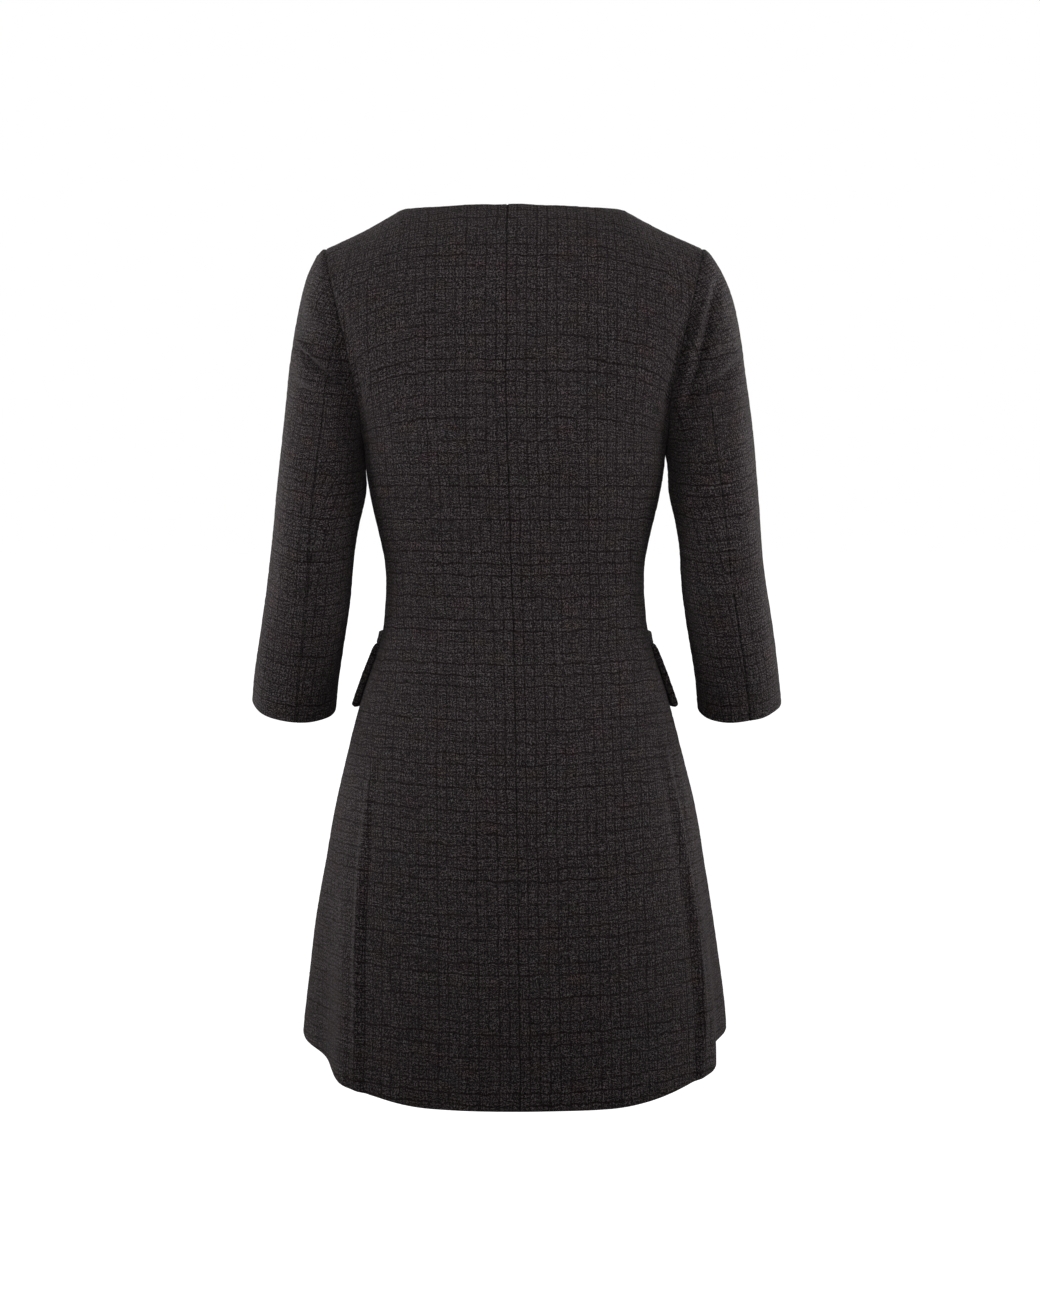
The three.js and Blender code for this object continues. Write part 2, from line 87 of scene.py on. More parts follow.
def new_group(name, inputs, outputs, kind="ShaderNodeTree"):
    """A node group with named sockets, its input and output nodes, and its inputs' identifiers."""
    tree = bpy.data.node_groups.new(name, kind)
    keys = {}
    for label, socket_type, value in inputs:
        socket = tree.interface.new_socket(label, in_out="INPUT", socket_type=socket_type)
        if value is not None:
            socket.default_value = value
        keys[label] = socket.identifier
    for label, socket_type in outputs:
        tree.interface.new_socket(label, in_out="OUTPUT", socket_type=socket_type)
    return tree, tree.nodes.new("NodeGroupInput"), tree.nodes.new("NodeGroupOutput"), keys


def make_weave():
    """The weave, from a place on the cloth in metres: its colour, its height and its roughness."""
    tree, given, result, _ = new_group(
        "boucle weave",
        [
            ("Cloth", "NodeSocketVector", None),
            ("Warp Pitch", "NodeSocketFloat", 3.15),
            ("Weft Pitch", "NodeSocketFloat", 3.6),
            # Painted shade: the yarn's near-black colour in the hollows of the weave. Painted light: its
            # colour on the lit tops of the loops.
            ("Yarn In Painted Shade", "NodeSocketColor", (0.0010, 0.0007, 0.0008, 1)),
            ("Yarn In Painted Light", "NodeSocketColor", (0.0775, 0.0640, 0.0670, 1)),
            ("Dark Thread", "NodeSocketColor", (0.0034, 0.0017, 0.0020, 1)),
            ("Fleck", "NodeSocketColor", (0.085, 0.080, 0.080, 1)),
        ],
        [("Color", "NodeSocketColor"), ("Height", "NodeSocketFloat"), ("Roughness", "NodeSocketFloat")],
    )
    cloth = given.outputs["Cloth"]
    in_mm = add_node(tree, "ShaderNodeVectorMath", {0: cloth, 3: 1000.0}, operation="SCALE").outputs[0]

    def noise(across, down, detail=1.0, at=0.0):
        """Soft noise whose grains are `across` by `down` millimetres."""
        size = {0: in_mm, 1: (1 / across, 1 / down, 1), 2: (at, at, at)}
        spot = add_node(tree, "ShaderNodeVectorMath", size, operation="MULTIPLY_ADD").outputs[0]
        sockets = {"Vector": spot, "Scale": 1.0, "Detail": detail, "Roughness": 0.6}
        return add_node(tree, "ShaderNodeTexNoise", sockets).outputs["Fac"]

    def centred(value, height):
        return calc(tree, "MULTIPLY", calc(tree, "SUBTRACT", value, 0.5), height)

    def total(*values):
        result = values[0]
        for value in values[1:]:
            result = calc(tree, "ADD", result, value)
        return result

    def product(*values):
        result = values[0]
        for value in values[1:]:
            result = calc(tree, "MULTIPLY", result, value)
        return result

    # Threads wander over a few centimetres, and their loops over a few millimetres.
    place = add_node(tree, "ShaderNodeSeparateXYZ", {0: in_mm})
    across = total(place.outputs["X"], centred(noise(31, 27, at=9.7), 3.4),
                   centred(noise(3.4, 5.2, detail=0.0, at=2.2), 2.2))
    down = total(place.outputs["Y"], centred(noise(19, 23, at=3.1), 6.0),
                 centred(noise(5.2, 3.4, detail=0.0, at=6.6), 2.2))
    thread_u = calc(tree, "DIVIDE", across, given.outputs["Warp Pitch"])
    thread_v = calc(tree, "DIVIDE", down, given.outputs["Weft Pitch"])
    warp_no = calc(tree, "FLOOR", thread_u)
    weft_no = calc(tree, "FLOOR", thread_v)

    # Which thread lies on top changes from one crossing to the next, with a few faults.
    crossing = add_node(tree, "ShaderNodeCombineXYZ", {0: warp_no, 1: weft_no}).outputs[0]
    spots = add_node(tree, "ShaderNodeTexWhiteNoise", {"Vector": crossing}, noise_dimensions="2D")
    chance = add_node(tree, "ShaderNodeSeparateColor", {0: spots.outputs["Color"]})
    parity = calc(tree, "ABSOLUTE", calc(tree, "SUBTRACT", calc(tree, "MODULO",
                  calc(tree, "ABSOLUTE", total(warp_no, weft_no)), 2.0),
                  calc(tree, "GREATER_THAN", chance.outputs["Green"], 0.8)))

    # Each thread bulges between its neighbours and sinks where it passes under them.
    def bulge(thread):
        return calc(tree, "ABSOLUTE", calc(tree, "SINE", calc(tree, "MULTIPLY", thread, math.pi)))

    def either(a, b):
        mix = add_node(tree, "ShaderNodeMix", data_type="FLOAT")
        for socket, value in ((mix.inputs[0], parity), (mix.inputs[2], a), (mix.inputs[3], b)):
            tree.links.new(value, socket)
        return mix.outputs[0]

    bulge_u, bulge_v = bulge(thread_u), bulge(thread_v)
    loop = either(product(calc(tree, "POWER", bulge_u, 0.9), calc(tree, "POWER", bulge_v, 0.35)),
                  product(calc(tree, "POWER", bulge_v, 0.9), calc(tree, "POWER", bulge_u, 0.35)))

    # After every third thread runs a thin dark one, which comes and goes.
    def dark_thread(thread, pitch, fray, at, weight):
        third = calc(tree, "DIVIDE", thread, 3.0)
        number = calc(tree, "ROUND", third)
        away = product(calc(tree, "ABSOLUTE", calc(tree, "SUBTRACT", third, number)), pitch, 3.0)
        spin = add_node(tree, "ShaderNodeTexWhiteNoise", {"W": total(number, at)}, noise_dimensions="1D")
        strong = total(0.55, product(ramp(tree, spin.outputs["Value"], 0.15, 0.85), 0.45))
        near = calc(tree, "SUBTRACT", 1.0, ramp(tree, away, 0.45, 1.5))
        return product(near, strong, weight, total(0.4, product(ramp(tree, fray, 0.32, 0.52), 0.6)))

    dark = calc(tree, "MAXIMUM",
                dark_thread(thread_u, given.outputs["Warp Pitch"], noise(4, 24, at=91.0), 0.37, 0.78),
                dark_thread(thread_v, given.outputs["Weft Pitch"], noise(26, 4, at=77.0), 500.4, 1.0))

    # Looped yarn catches the light in tufts. This is painted light and shade: the yarn's colour is lighter
    # on the tufts and the tops of the threads, and near black in the hollows between threads, where shade
    # falls.
    streaks = either(noise(1.0, 2.6, detail=0.0, at=21.0), noise(2.6, 1.0, detail=0.0, at=43.0))
    curls = product(noise(0.95, 0.95, detail=1.0, at=65.0), 0.7)
    tufts = ramp(tree, total(curls, product(streaks, 0.3)), 0.452, 0.602)
    clouds = total(1.0, centred(noise(16, 14, at=35.5), 0.22), centred(noise(70, 8, at=5.5), 0.3))
    # The share of painted light in the yarn's colour: high on the threads' tops and tufts, painted shade in
    # the hollows between them.
    light = product(total(0.3, product(loop, 0.7)), total(0.03, tufts),
                    total(0.8, product(chance.outputs["Red"], 0.4)))
    light = calc(tree, "MULTIPLY", product(light, clouds), 1.0, clamp=True)
    yarn = blend_colour(tree, light, given.outputs["Yarn In Painted Shade"], given.outputs["Yarn In Painted Light"])
    worn = product(dark, total(1.0, product(tufts, -0.3)))
    yarn = blend_colour(tree, worn, yarn, given.outputs["Dark Thread"])

    # Patches of dyed fibre: each cell of this net has its own hue or none.
    patch_at = add_node(tree, "ShaderNodeVectorMath", {0: in_mm, 1: (1 / 26, 1 / 16, 1)},
                        operation="MULTIPLY")
    patch = add_node(tree, "ShaderNodeTexVoronoi", {"Vector": patch_at.outputs[0], "Scale": 1.0},
                     voronoi_dimensions="2D")
    kind = add_node(tree, "ShaderNodeSeparateColor", {0: patch.outputs["Color"]})
    tinted = calc(tree, "SUBTRACT", 1.0, ramp(tree, patch.outputs["Distance"], 0.1, 0.62))
    for channel, low, high, hue in (
        ("Red", 0.66, 1.0, (1.30, 0.93, 0.98, 1)),
        ("Green", 0.55, 0.95, (1.12, 1.08, 0.78, 1)),
        ("Blue", 0.70, 1.0, (0.88, 1.06, 1.12, 1)),
    ):
        amount = calc(tree, "MULTIPLY", ramp(tree, kind.outputs[channel], low, high), tinted)
        mix = add_node(tree, "ShaderNodeMix", data_type="RGBA", blend_type="MULTIPLY")
        tree.links.new(calc(tree, "MULTIPLY", amount, 0.36), mix.inputs[0])
        tree.links.new(yarn, mix.inputs[6])
        mix.inputs[7].default_value = hue
        yarn = mix.outputs[2]

    # Pale flecks of unspun wool, each on one crossing.
    fleck = product(ramp(tree, chance.outputs["Blue"], 0.97, 0.995), ramp(tree, tufts, 0.45, 0.9), loop)
    yarn = blend_colour(tree, fleck, yarn, given.outputs["Fleck"])

    relief = total(product(loop, 0.5), product(tufts, 0.5))
    height = calc(tree, "SUBTRACT", relief, product(dark, 0.45))
    rough = calc(tree, "SUBTRACT", 0.96, calc(tree, "MULTIPLY", loop, 0.12))
    tree.links.new(yarn, result.inputs["Color"])
    tree.links.new(height, result.inputs["Height"])
    tree.links.new(rough, result.inputs["Roughness"])
    return tree


def new_material(name, **sockets):
    """A material with one Principled BSDF, whose named sockets are set on the shader itself."""
    made = bpy.data.materials.new(name)
    made.use_nodes = True
    shader = made.node_tree.nodes["Principled BSDF"]
    for label, value in sockets.items():
        shader.inputs[label.replace("_", " ")].default_value = value
    return made, made.node_tree, shader


def make_tweed():
    made, tree, shader = new_material(
        "tweed", Specular_IOR_Level=0.05, Sheen_Weight=0.04, Sheen_Roughness=0.5,
        Sheen_Tint=(0.62, 0.55, 0.54, 1))
    cloth = add_node(tree, "ShaderNodeUVMap", uv_map="cloth")
    weave = add_node(tree, "ShaderNodeGroup", node_tree=make_weave())
    tree.links.new(cloth.outputs[0], weave.inputs["Cloth"])
    bump = add_node(tree, "ShaderNodeBump",
                    {"Strength": 0.75, "Distance": 0.0009, "Height": weave.outputs["Height"]})
    tree.links.new(weave.outputs["Color"], shader.inputs["Base Color"])
    tree.links.new(weave.outputs["Roughness"], shader.inputs["Roughness"])
    tree.links.new(bump.outputs[0], shader.inputs["Normal"])
    return made


tweed = make_tweed()

# ---- Cloth walls --------------------------------------------------------------------------------
# How each length of cloth is made: a wall of tweed a few layers of yarn thick, pressed in a little
# along its seams, folded over at its free edges, and uneven as boucle is. A turned-up edge lies
# inside the wall and doubles it.

CLOTH = 2.4              # thickness of the tweed
SEAM_SINK = 1.8          # how far the cloth is drawn in along a seam
SEAM_REACH = 0.95
TURN_UP = 34             # depth of the hems inside
RIM = 0.2                # half of what is left of the wall at the middle of a folded edge
CLOSE = (0, 0.3, 0.7, 1.2, 1.9, 3.0)   # rows of points next to an edge
BOUCLE = 0.70            # height of the loops
SHARP = 50               # degrees
# How far along the bolt each kind of piece is cut, so that no two show the same stretch of weave.
BOLT = {"front": 4000, "pocket": 4300, "sleeve": 8000, "allowance": 12000}
BOLT_STEP = {"pocket": 300, "sleeve": 2000}   # and from there to the left or the right one

lattice = np.random.default_rng(7).random((256, 256))


def smoothstep(x, low, high):
    t = np.clip((x - low) / (high - low), 0, 1)
    return t * t * (3 - 2 * t)


def lerp(a, b, t):
    return a + (b - a) * t


def bell(distance, spread):
    return np.exp(-((distance / spread) ** 2))


def value_noise(x, y):
    """Smooth chance values from 0 to 1, one to each unit."""
    ix, iy = np.floor(x).astype(int), np.floor(y).astype(int)
    fx, fy = smoothstep(x - ix, 0, 1), smoothstep(y - iy, 0, 1)
    low = lerp(lattice[ix % 256, iy % 256], lattice[(ix + 1) % 256, iy % 256], fx)
    high = lerp(lattice[ix % 256, (iy + 1) % 256], lattice[(ix + 1) % 256, (iy + 1) % 256], fx)
    return lerp(low, high, fy)


def boucle_rise(cloth):
    """The loops' own relief, from a place on the cloth in millimetres."""
    u, v = cloth[..., 0], cloth[..., 1]
    loops = value_noise(u / 2.7 + 40, v / 2.7 + 40) + 0.7 * value_noise(u / 5.5 + 90, v / 4.5 + 90)
    return BOUCLE * (loops / 1.7 - 0.5)


def places(length, pitch, first=CLOSE, last=CLOSE):
    """Shares of a length, about a pitch apart, with closer ones next to each end."""
    count = max(2, round((length - first[-1] - last[-1]) / pitch) + 1)
    middle = np.linspace(first[-1], length - last[-1], count)
    return np.concatenate([first[:-1], middle, length - np.array(last[:-1])[::-1]]) / length


def run_lengths(points, axis):
    """Distance along the cloth from the first row or column of a grid."""
    step = np.linalg.norm(np.diff(points, axis=axis), axis=-1)
    start = np.zeros_like(np.take(step, [0], axis=axis))
    return np.concatenate([start, np.cumsum(step, axis=axis)], axis=axis)


def unit(vectors):
    return vectors / np.maximum(np.linalg.norm(vectors, axis=-1, keepdims=True), 1e-9)


def face_normals(place, us, vs, facing):
    """Outward directions of a surface, from points a little to each side."""
    du, dv = 0.002 * (us[-1] - us[0]), 0.002 * (vs[-1] - vs[0])
    u, v = us[:, None], vs[None, :]
    along_u = place(u + du, v) - place(u - du, v)
    along_v = place(u, v + dv) - place(u, v - dv)
    return unit(np.cross(along_u, along_v) * facing)


def zip_borders(outer, outer_at, inner, inner_at):
    """Triangles that join two rows of points, each given with its places from first to last."""
    faces, i, j = [], 0, 0
    while i < len(outer) - 1 or j < len(inner) - 1:
        if j == len(inner) - 1 or (i < len(outer) - 1 and outer_at[i + 1] <= inner_at[j + 1]):
            faces.append((outer[i], inner[j], outer[i + 1]))
            i += 1
        else:
            faces.append((outer[i], inner[j], inner[j + 1]))
            j += 1
    return faces


def grid_faces(ids, flip):
    corners = np.stack([ids[:-1, :-1], ids[1:, :-1], ids[1:, 1:], ids[:-1, 1:]], -1).reshape(-1, 4)
    return corners[:, ::-1] if flip else corners


def add_object(name, data):
    made = bpy.data.objects.new(name, data)
    bpy.context.scene.collection.objects.link(made)
    return made


def make_piece(name, vertices, faces, cloth):
    """A mesh object at the origin, from vertices and cloth places in millimetres."""
    mesh = bpy.data.meshes.new(name)
    mesh.from_pydata((vertices * 0.001).tolist(), [], faces)
    corner = np.empty(len(mesh.loops), int)
    mesh.loops.foreach_get("vertex_index", corner)
    uv = mesh.uv_layers.new(name="cloth")
    uv.data.foreach_set("uv", (cloth[corner] * 0.001).astype(np.float32).ravel())
    mesh.polygons.foreach_set("use_smooth", [True] * len(mesh.polygons))
    mesh.set_sharp_from_angle(angle=math.radians(SHARP))
    mesh.validate()
    mesh.materials.append(tweed)
    return add_object(name, mesh)


def edge_shape(gaps, folds, sink_share, thick, radius, turn_up):
    """How deep the outer and the inner face lie under the smooth surface near four edges, and how
    much longer each folded edge makes the way round it."""
    outer, extra = 0, 0
    inner_round = 0
    curls = []
    for gap, fold in zip(gaps, folds):
        sink = SEAM_SINK * sink_share * bell(gap, SEAM_REACH)
        curl = radius - np.sqrt(radius**2 - (radius - np.minimum(gap, radius)) ** 2)
        curls.append(curl * fold)
        outer = np.maximum(outer, lerp(sink, curl, fold))
        inner_round = np.maximum(inner_round, curl * fold)
        turned = 1 - smoothstep(gap, turn_up - 1.5, turn_up + 1.5)
        extra = np.maximum(extra, fold * (2 * radius - thick) * turned)
    outer = np.minimum(outer, radius - RIM)
    inner = np.maximum(thick + extra - inner_round, radius + RIM)
    return outer, inner, curls


def sew(name, place, facing, outer_at, inner_at, folds, cloth_at, rise=None,
        thick=CLOTH, radius=CLOTH, turn_up=TURN_UP, sink_share=None):
    """A closed wall of cloth. place(u, v) is its outer face without folds or loops, outer_at and
    inner_at the u and v of its points, folds(u, v) how far each edge (low u, high u, low v, high v)
    is a folded one and not a seam, sink_share(u, v) how much of the usual depth a seam has, and
    cloth_at gives each point's place on the flat cloth."""
    vertices, cloths, grids = [], [], []
    for side, (us, vs) in (("outer", outer_at), ("inner", inner_at)):
        u, v = us[:, None], vs[None, :]
        points = place(u, v)
        normal = face_normals(place, us, vs, facing)
        run_u, run_v = run_lengths(points, 0), run_lengths(points, 1)
        gaps = (run_u, run_u[-1:] - run_u, run_v, run_v[:, -1:] - run_v)
        share = 1 if sink_share is None else sink_share(u, v)
        outer, inner, curls = edge_shape(gaps, folds(u, v), share, thick, radius, turn_up)
        cloth = cloth_at(points, u, v, run_u - curls[0] + curls[1], run_v - curls[2] + curls[3])
        lift = np.zeros(points.shape[:2])
        if rise is not None:
            lift = rise(points, normal, u, v)
        if side == "outer":
            calm = smoothstep(np.minimum(np.minimum(*gaps[:2]), np.minimum(*gaps[2:])), 0, 3)
            lift = lift + boucle_rise(cloth) * (0.35 + 0.65 * calm) - outer
            flat = (float(run_u[-1].max()), float(run_v[:, -1].max()), grid_area(points))
        else:
            lift = lift - inner
        start = sum(len(block) for block in vertices)
        vertices.append((points + normal * lift[..., None]).reshape(-1, 3))
        cloths.append(cloth.reshape(-1, 2))
        grids.append(start + np.arange(len(us) * len(vs)).reshape(len(us), len(vs)))
    out, inn = grids
    faces = grid_faces(out, facing < 0).tolist() + grid_faces(inn, facing > 0).tolist()
    (ou, ov), (iu, iv) = outer_at, inner_at
    borders = (
        (out[:, 0], ou, inn[:, 0], iu, 1), (out[:, -1], ou, inn[:, -1], iu, -1),
        (out[0], ov, inn[0], iv, -1), (out[-1], ov, inn[-1], iv, 1),
    )
    for outer_ids, outer_t, inner_ids, inner_t, way in borders:
        for a, b, c in zip_borders(outer_ids.tolist(), outer_t, inner_ids.tolist(), inner_t):
            faces.append((a, b, c) if way * facing > 0 else (a, c, b))
    piece = make_piece(name, np.concatenate(vertices), faces, np.concatenate(cloths))
    return piece, flat


def grid_area(points):
    across, down = np.diff(points, axis=0)[:, :-1], np.diff(points, axis=1)[:-1]
    return float(np.linalg.norm(np.cross(across, down), axis=-1).sum())


def declare(piece, flat, *nodes):
    """The piece's body and CAD nodes: it is attached to the root and its CAD nodes are hidden. flat, its
    greatest width and length, is not used.
    """
    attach(piece, "root")
    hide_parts(*nodes)


# ---- Back panels --------------------------------------------------------------------------------
# Two panels, each cut in one length from shoulder to hem, sewn down the centre back. They narrow
# to the waist, flare to the hem, and stand out in one soft fold on each side of the skirt.
# The neckline and the hem are turned in and sewn down blind.

UNDERARM_Z = -215
CHEST_Z = -110
SHOULDER_Y = 6
SHOULDER_TIP = (183, -26)
SHOULDER_DIP = 2
NECK = {"half": 108, "z": 10, "back": 44, "front": 94, "drop": 88, "shift": 7}
NECK_STEADY = 0.9
NECK_SHARE = 0.71
NECK_CROWD = 1.3
NECK_RUN = {1: 0.75, -1: 1.6}
SHOULDER_PULL = 1.1
ARMHOLE_DEPTH = {1: 58, -1: 50}
EDGE_PULL = 2.4
CHEST_STEP = 0.04
LAP = 22                 # overlap past the centre front
HEM = {1: -832, -1: -824}
HEM_SIDE = {1: (-803, 25), -1: (-804, 28)}

TORSO_COLUMNS = ("z", "half", "chest", "back", "front", "side", "backBox", "frontBox", "drift")
TORSO = (
    (-860, 218, 218, 176, -168, 2, 2.45, 2.4, -5),
    (-817, 215.5, 215.5, 169.5, -163, 2, 2.45, 2.4, -5),
    (-780, 212.5, 212.5, 162, -157, 2, 2.45, 2.4, -5),
    (-717, 205.3, 205.3, 150, -146, 1, 2.4, 2.35, -4),
    (-634, 191.5, 191.5, 133, -133, 0, 2.35, 2.3, -3),
    (-572, 180.5, 180.5, 120, -122, -2, 2.35, 2.3, -2),
    (-511, 165.5, 165.5, 104, -110, -4, 2.3, 2.25, -1),
    (-450, 148, 148, 86, -101, -6, 2.3, 2.2, 0),
    (-410, 135.5, 135.5, 74, -98, -8, 2.3, 2.2, 1),
    (-370, 130, 130, 68, -98, -8, 2.3, 2.2, 2),
    (-350, 129.3, 129.3, 68.5, -100, -8, 2.3, 2.2, 3),
    (-330, 130.5, 130.5, 70, -104, -7, 2.3, 2.25, 3.5),
    (-310, 134, 134, 73.5, -110, -5, 2.35, 2.3, 4),
    (-270, 142.5, 142.5, 82, -122, -2, 2.4, 2.4, 5),
    (-240, 147, 147, 89, -126, 1, 2.5, 2.4, 6),
    (-215, 149.2, 149.2, 94, -123, 3, 2.6, 2.35, 7),
    (-173, 160.5, 156, 98, -113, 4, 2.7, 2.3, 8),
    (-146, 170, 162.5, 99, -106, 4, 2.75, 2.3, 8),
    (-110, 181.5, 172, 98, -98, 4, 2.8, 2.3, 8),
    (-80, 189, 180, 95, -92, 4, 2.8, 2.3, 8),
)
BUST = {"x": 82, "z": -236, "rise": 9, "wide": 46, "high": 52}
FLUTE_COLUMNS = ("part", "hand", "top", "upper", "middle", "lower", "crest", "hollow", "apart")
FLUTES = (
    (1, 1, -500, 62, 56, 51, 7, 12, 15),
    (1, -1, -490, 61, 65, 60, 7, 11, 13),
    (-1, 1, -560, 50, 49, 47, 6, 8, 17),
    (-1, -1, -540, 46, 47, 50, 6, 9, 16),
)
CREST_WIDTH, HOLLOW_WIDTH, SIDE_CALM = 5.5, 8, 9

# Creases as they lie on the cloth. side: +1 on the back, -1 on the front; then the place (x, z) of
# each point along it, the half-width and depth of its trough (a ridge where below 0), and the
# height of the swell beside it (on its right-hand side where below 0).
BODY_CREASES = (
    (1, ((138, -520), (143, -565), (148, -620), (150, -690), (150, -800), (147, -850)), 3.4, -3.4, 0),
    (1, ((130, -520), (138, -580), (142, -660), (143, -762), (140, -850)), 4.0, 2.2, 0),
    (1, ((148, -560), (156, -640), (158, -730), (157, -850)), 4.5, 1.2, 0),
    (1, ((-145, -500), (-158, -565), (-170, -636), (-178, -700), (-182, -760), (-177, -850)), 3.4, -3.4, 0),
    (1, ((-137, -500), (-152, -580), (-165, -665), (-174, -760), (-169, -850)), 4.0, 1.8, 0),
    (1, ((-150, -500), (-166, -580), (-178, -660), (-184, -720)), 2.8, 2.8, 0),
    (1, ((84, -640), (70, -720), (74, -850)), 20, 2.2, 1.4),
    (1, ((-30, -640), (-44, -740), (-40, -850)), 24, 1.8, -1.1),
    (1, ((168, -80), (160, -124), (150, -176), (143, -214)), 7, 3.6, 2.0),
    (1, ((-172, -74), (-163, -116), (-152, -170), (-144, -214)), 7, 4.0, -2.2),
    (1, ((146, -262), (112, -300), (70, -318)), 13, 1.4, 0.9),
    (1, ((-142, -268), (-104, -312), (-58, -334)), 14, 1.5, -1.0),
    (1, ((132, -392), (96, -400), (40, -396)), 11, 1.2, 0.7),
    (1, ((-132, -398), (-90, -412), (-30, -410)), 12, 1.3, -0.8),
    (-1, ((160, -96), (148, -140), (139, -190)), 8, 2.6, 1.6),
    (-1, ((-160, -90), (-150, -138), (-140, -188)), 8, 2.6, -1.6),
    (-1, ((142, -268), (110, -262), (84, -248)), 9, 1.6, -1.0),
    (-1, ((-142, -272), (-112, -264), (-86, -250)), 9, 1.7, 1.0),
    (-1, ((118, -560), (125, -640), (132, -740), (138, -850)), 4, -3.0, 0),
    (-1, ((108, -570), (114, -650), (121, -740), (127, -850)), 6, 2.0, 0),
    (-1, ((-112, -540), (-121, -640), (-131, -740), (-140, -850)), 4, -3.0, 0),
    (-1, ((-102, -560), (-110, -650), (-120, -740), (-128, -850)), 6, 2.0, 0),
    (-1, ((60, -560), (52, -700), (58, -850)), 22, 1.8, -1.0),
)


def hermite(a, da, b, db, t):
    t2, t3 = t * t, t * t * t
    return (2 * t3 - 3 * t2 + 1) * a + (t3 - 2 * t2 + t) * da + (3 * t2 - 2 * t3) * b + (t3 - t2) * db


def curves(columns, rows, keys):
    """A smooth curve through each column of a table, read at any values of its key."""
    table, keys = np.array(rows, float), np.array(keys, float)
    last = len(keys) - 1
    after = np.minimum(np.arange(last + 1) + 1, last)
    before = np.maximum(np.arange(last + 1) - 1, 0)
    slopes = (table[after] - table[before]) / (keys[after] - keys[before])[:, None]

    def read(key):
        key = np.asarray(key, float)
        i = np.clip(np.searchsorted(keys, key) - 1, 0, last - 1)
        step = keys[i + 1] - keys[i]
        t = (key - keys[i]) / step
        value = {}
        for c, name in enumerate(columns):
            da, db = slopes[i, c] * step, slopes[i + 1, c] * step
            smooth = hermite(table[i, c], da, table[i + 1, c], db, np.clip(t, 0, 1))
            value[name] = smooth + da * np.minimum(t, 0) + db * np.maximum(t - 1, 0)
        return value

    return read


torso_at = curves(TORSO_COLUMNS, TORSO, [row[0] for row in TORSO])


def flute_rise(part, turn, z):
    """How far the skirt's folds stand out or sink, at an angle in degrees."""
    rise = 0
    for row in FLUTES:
        fold = dict(zip(FLUTE_COLUMNS, row))
        if fold["part"] != part:
            continue
        along = np.maximum(0, (fold["top"] - z) / (fold["top"] - HEM[1]))
        bow = fold["middle"] - (fold["upper"] + fold["lower"]) / 2
        angle = fold["hand"] * (lerp(fold["upper"], fold["lower"], along) + bow * 4 * along * (1 - along))
        grow = smoothstep(along, 0, 1) * np.sqrt(along)
        crest = fold["crest"] * bell(turn - angle, CREST_WIDTH)
        hollow = fold["hollow"] * bell(turn - angle - fold["hand"] * fold["apart"], HOLLOW_WIDTH)
        rise = rise + grow * (crest - hollow)
    return rise * (1 - bell(90 - np.abs(turn), SIDE_CALM))


def body_half(part, row):
    """Half-width, depth and squareness of the back (+1) or front (-1) half of a section."""
    if part > 0:
        return row["half"], row["back"] - row["side"], row["backBox"]
    return row["chest"], row["side"] - row["front"], row["frontBox"]


def body_point(part, turn, z):
    """The body's point at an angle from the centre line, in radians, + to the wearer's left."""
    row = torso_at(z)
    half, deep, box = body_half(part, row)
    sin, cos = np.sin(turn), np.cos(turn)
    reach = (np.abs(sin / half) ** box + np.abs(cos / deep) ** box) ** (-1 / box)
    radius = reach + flute_rise(part, np.degrees(turn), z)
    x, y = radius * sin, row["side"] + part * radius * cos
    if part < 0:
        swell = bell(x - BUST["x"], BUST["wide"]) + bell(x + BUST["x"], BUST["wide"])
        y = y - BUST["rise"] * bell(z - BUST["z"], BUST["high"]) * swell
    else:
        x = x + row["drift"] * np.maximum(cos, 0) ** 2
    return np.stack(np.broadcast_arrays(x, y, z), -1)


def hem_at(part, turn):
    rise = 0
    for hand, (z, start) in HEM_SIDE.items():
        here = smoothstep(np.degrees(np.abs(turn)), start, 88) * (np.sign(turn) == hand)
        rise = rise + here * (z - HEM[part])
    return HEM[part] + rise


def armhole_turn(part, level):
    """The angle and height at which the armhole cuts the body, level 0 underarm to 0.5 chest."""
    swing = math.pi * (0.5 - level)
    z = lerp(CHEST_Z, UNDERARM_Z, np.sin(swing))
    half, deep, box = body_half(part, torso_at(z))
    y = ARMHOLE_DEPTH[part] * np.cos(swing)
    return np.arctan2(half * (1 - (np.abs(y) / deep) ** box) ** (1 / box), y), z


def top_point(part, across):
    """The top edge: the neckline from the centre (0), then the shoulder seam to its tip (1)."""
    side, share = np.where(across < 0, -1, 1), np.abs(across)
    shift = NECK["shift"] * (1 - NECK_STEADY * share)
    angle = math.pi / 2 * (np.minimum(share, NECK_SHARE) / NECK_SHARE) ** NECK_CROWD
    deep = NECK["back"] if part > 0 else -NECK["front"]
    drop = 0 if part > 0 else NECK["drop"]
    along = np.maximum(share - NECK_SHARE, 0) / (1 - NECK_SHARE)
    x = NECK["half"] * np.sin(angle) + (SHOULDER_TIP[0] - NECK["half"]) * along
    y = SHOULDER_Y + deep * np.cos(angle)
    z = NECK["z"] - drop * np.cos(angle) + (SHOULDER_TIP[1] - NECK["z"]) * along
    z = z - SHOULDER_DIP * np.sin(math.pi * np.minimum(along, 1))
    return np.stack(np.broadcast_arrays(side * x + shift, y, z), -1)


def top_run(part, across):
    share = np.minimum(1, np.abs(across) / NECK_SHARE)
    return unit(np.stack(np.broadcast_arrays(0.0, -part, NECK_RUN[part] * (1 - share**2)), -1))


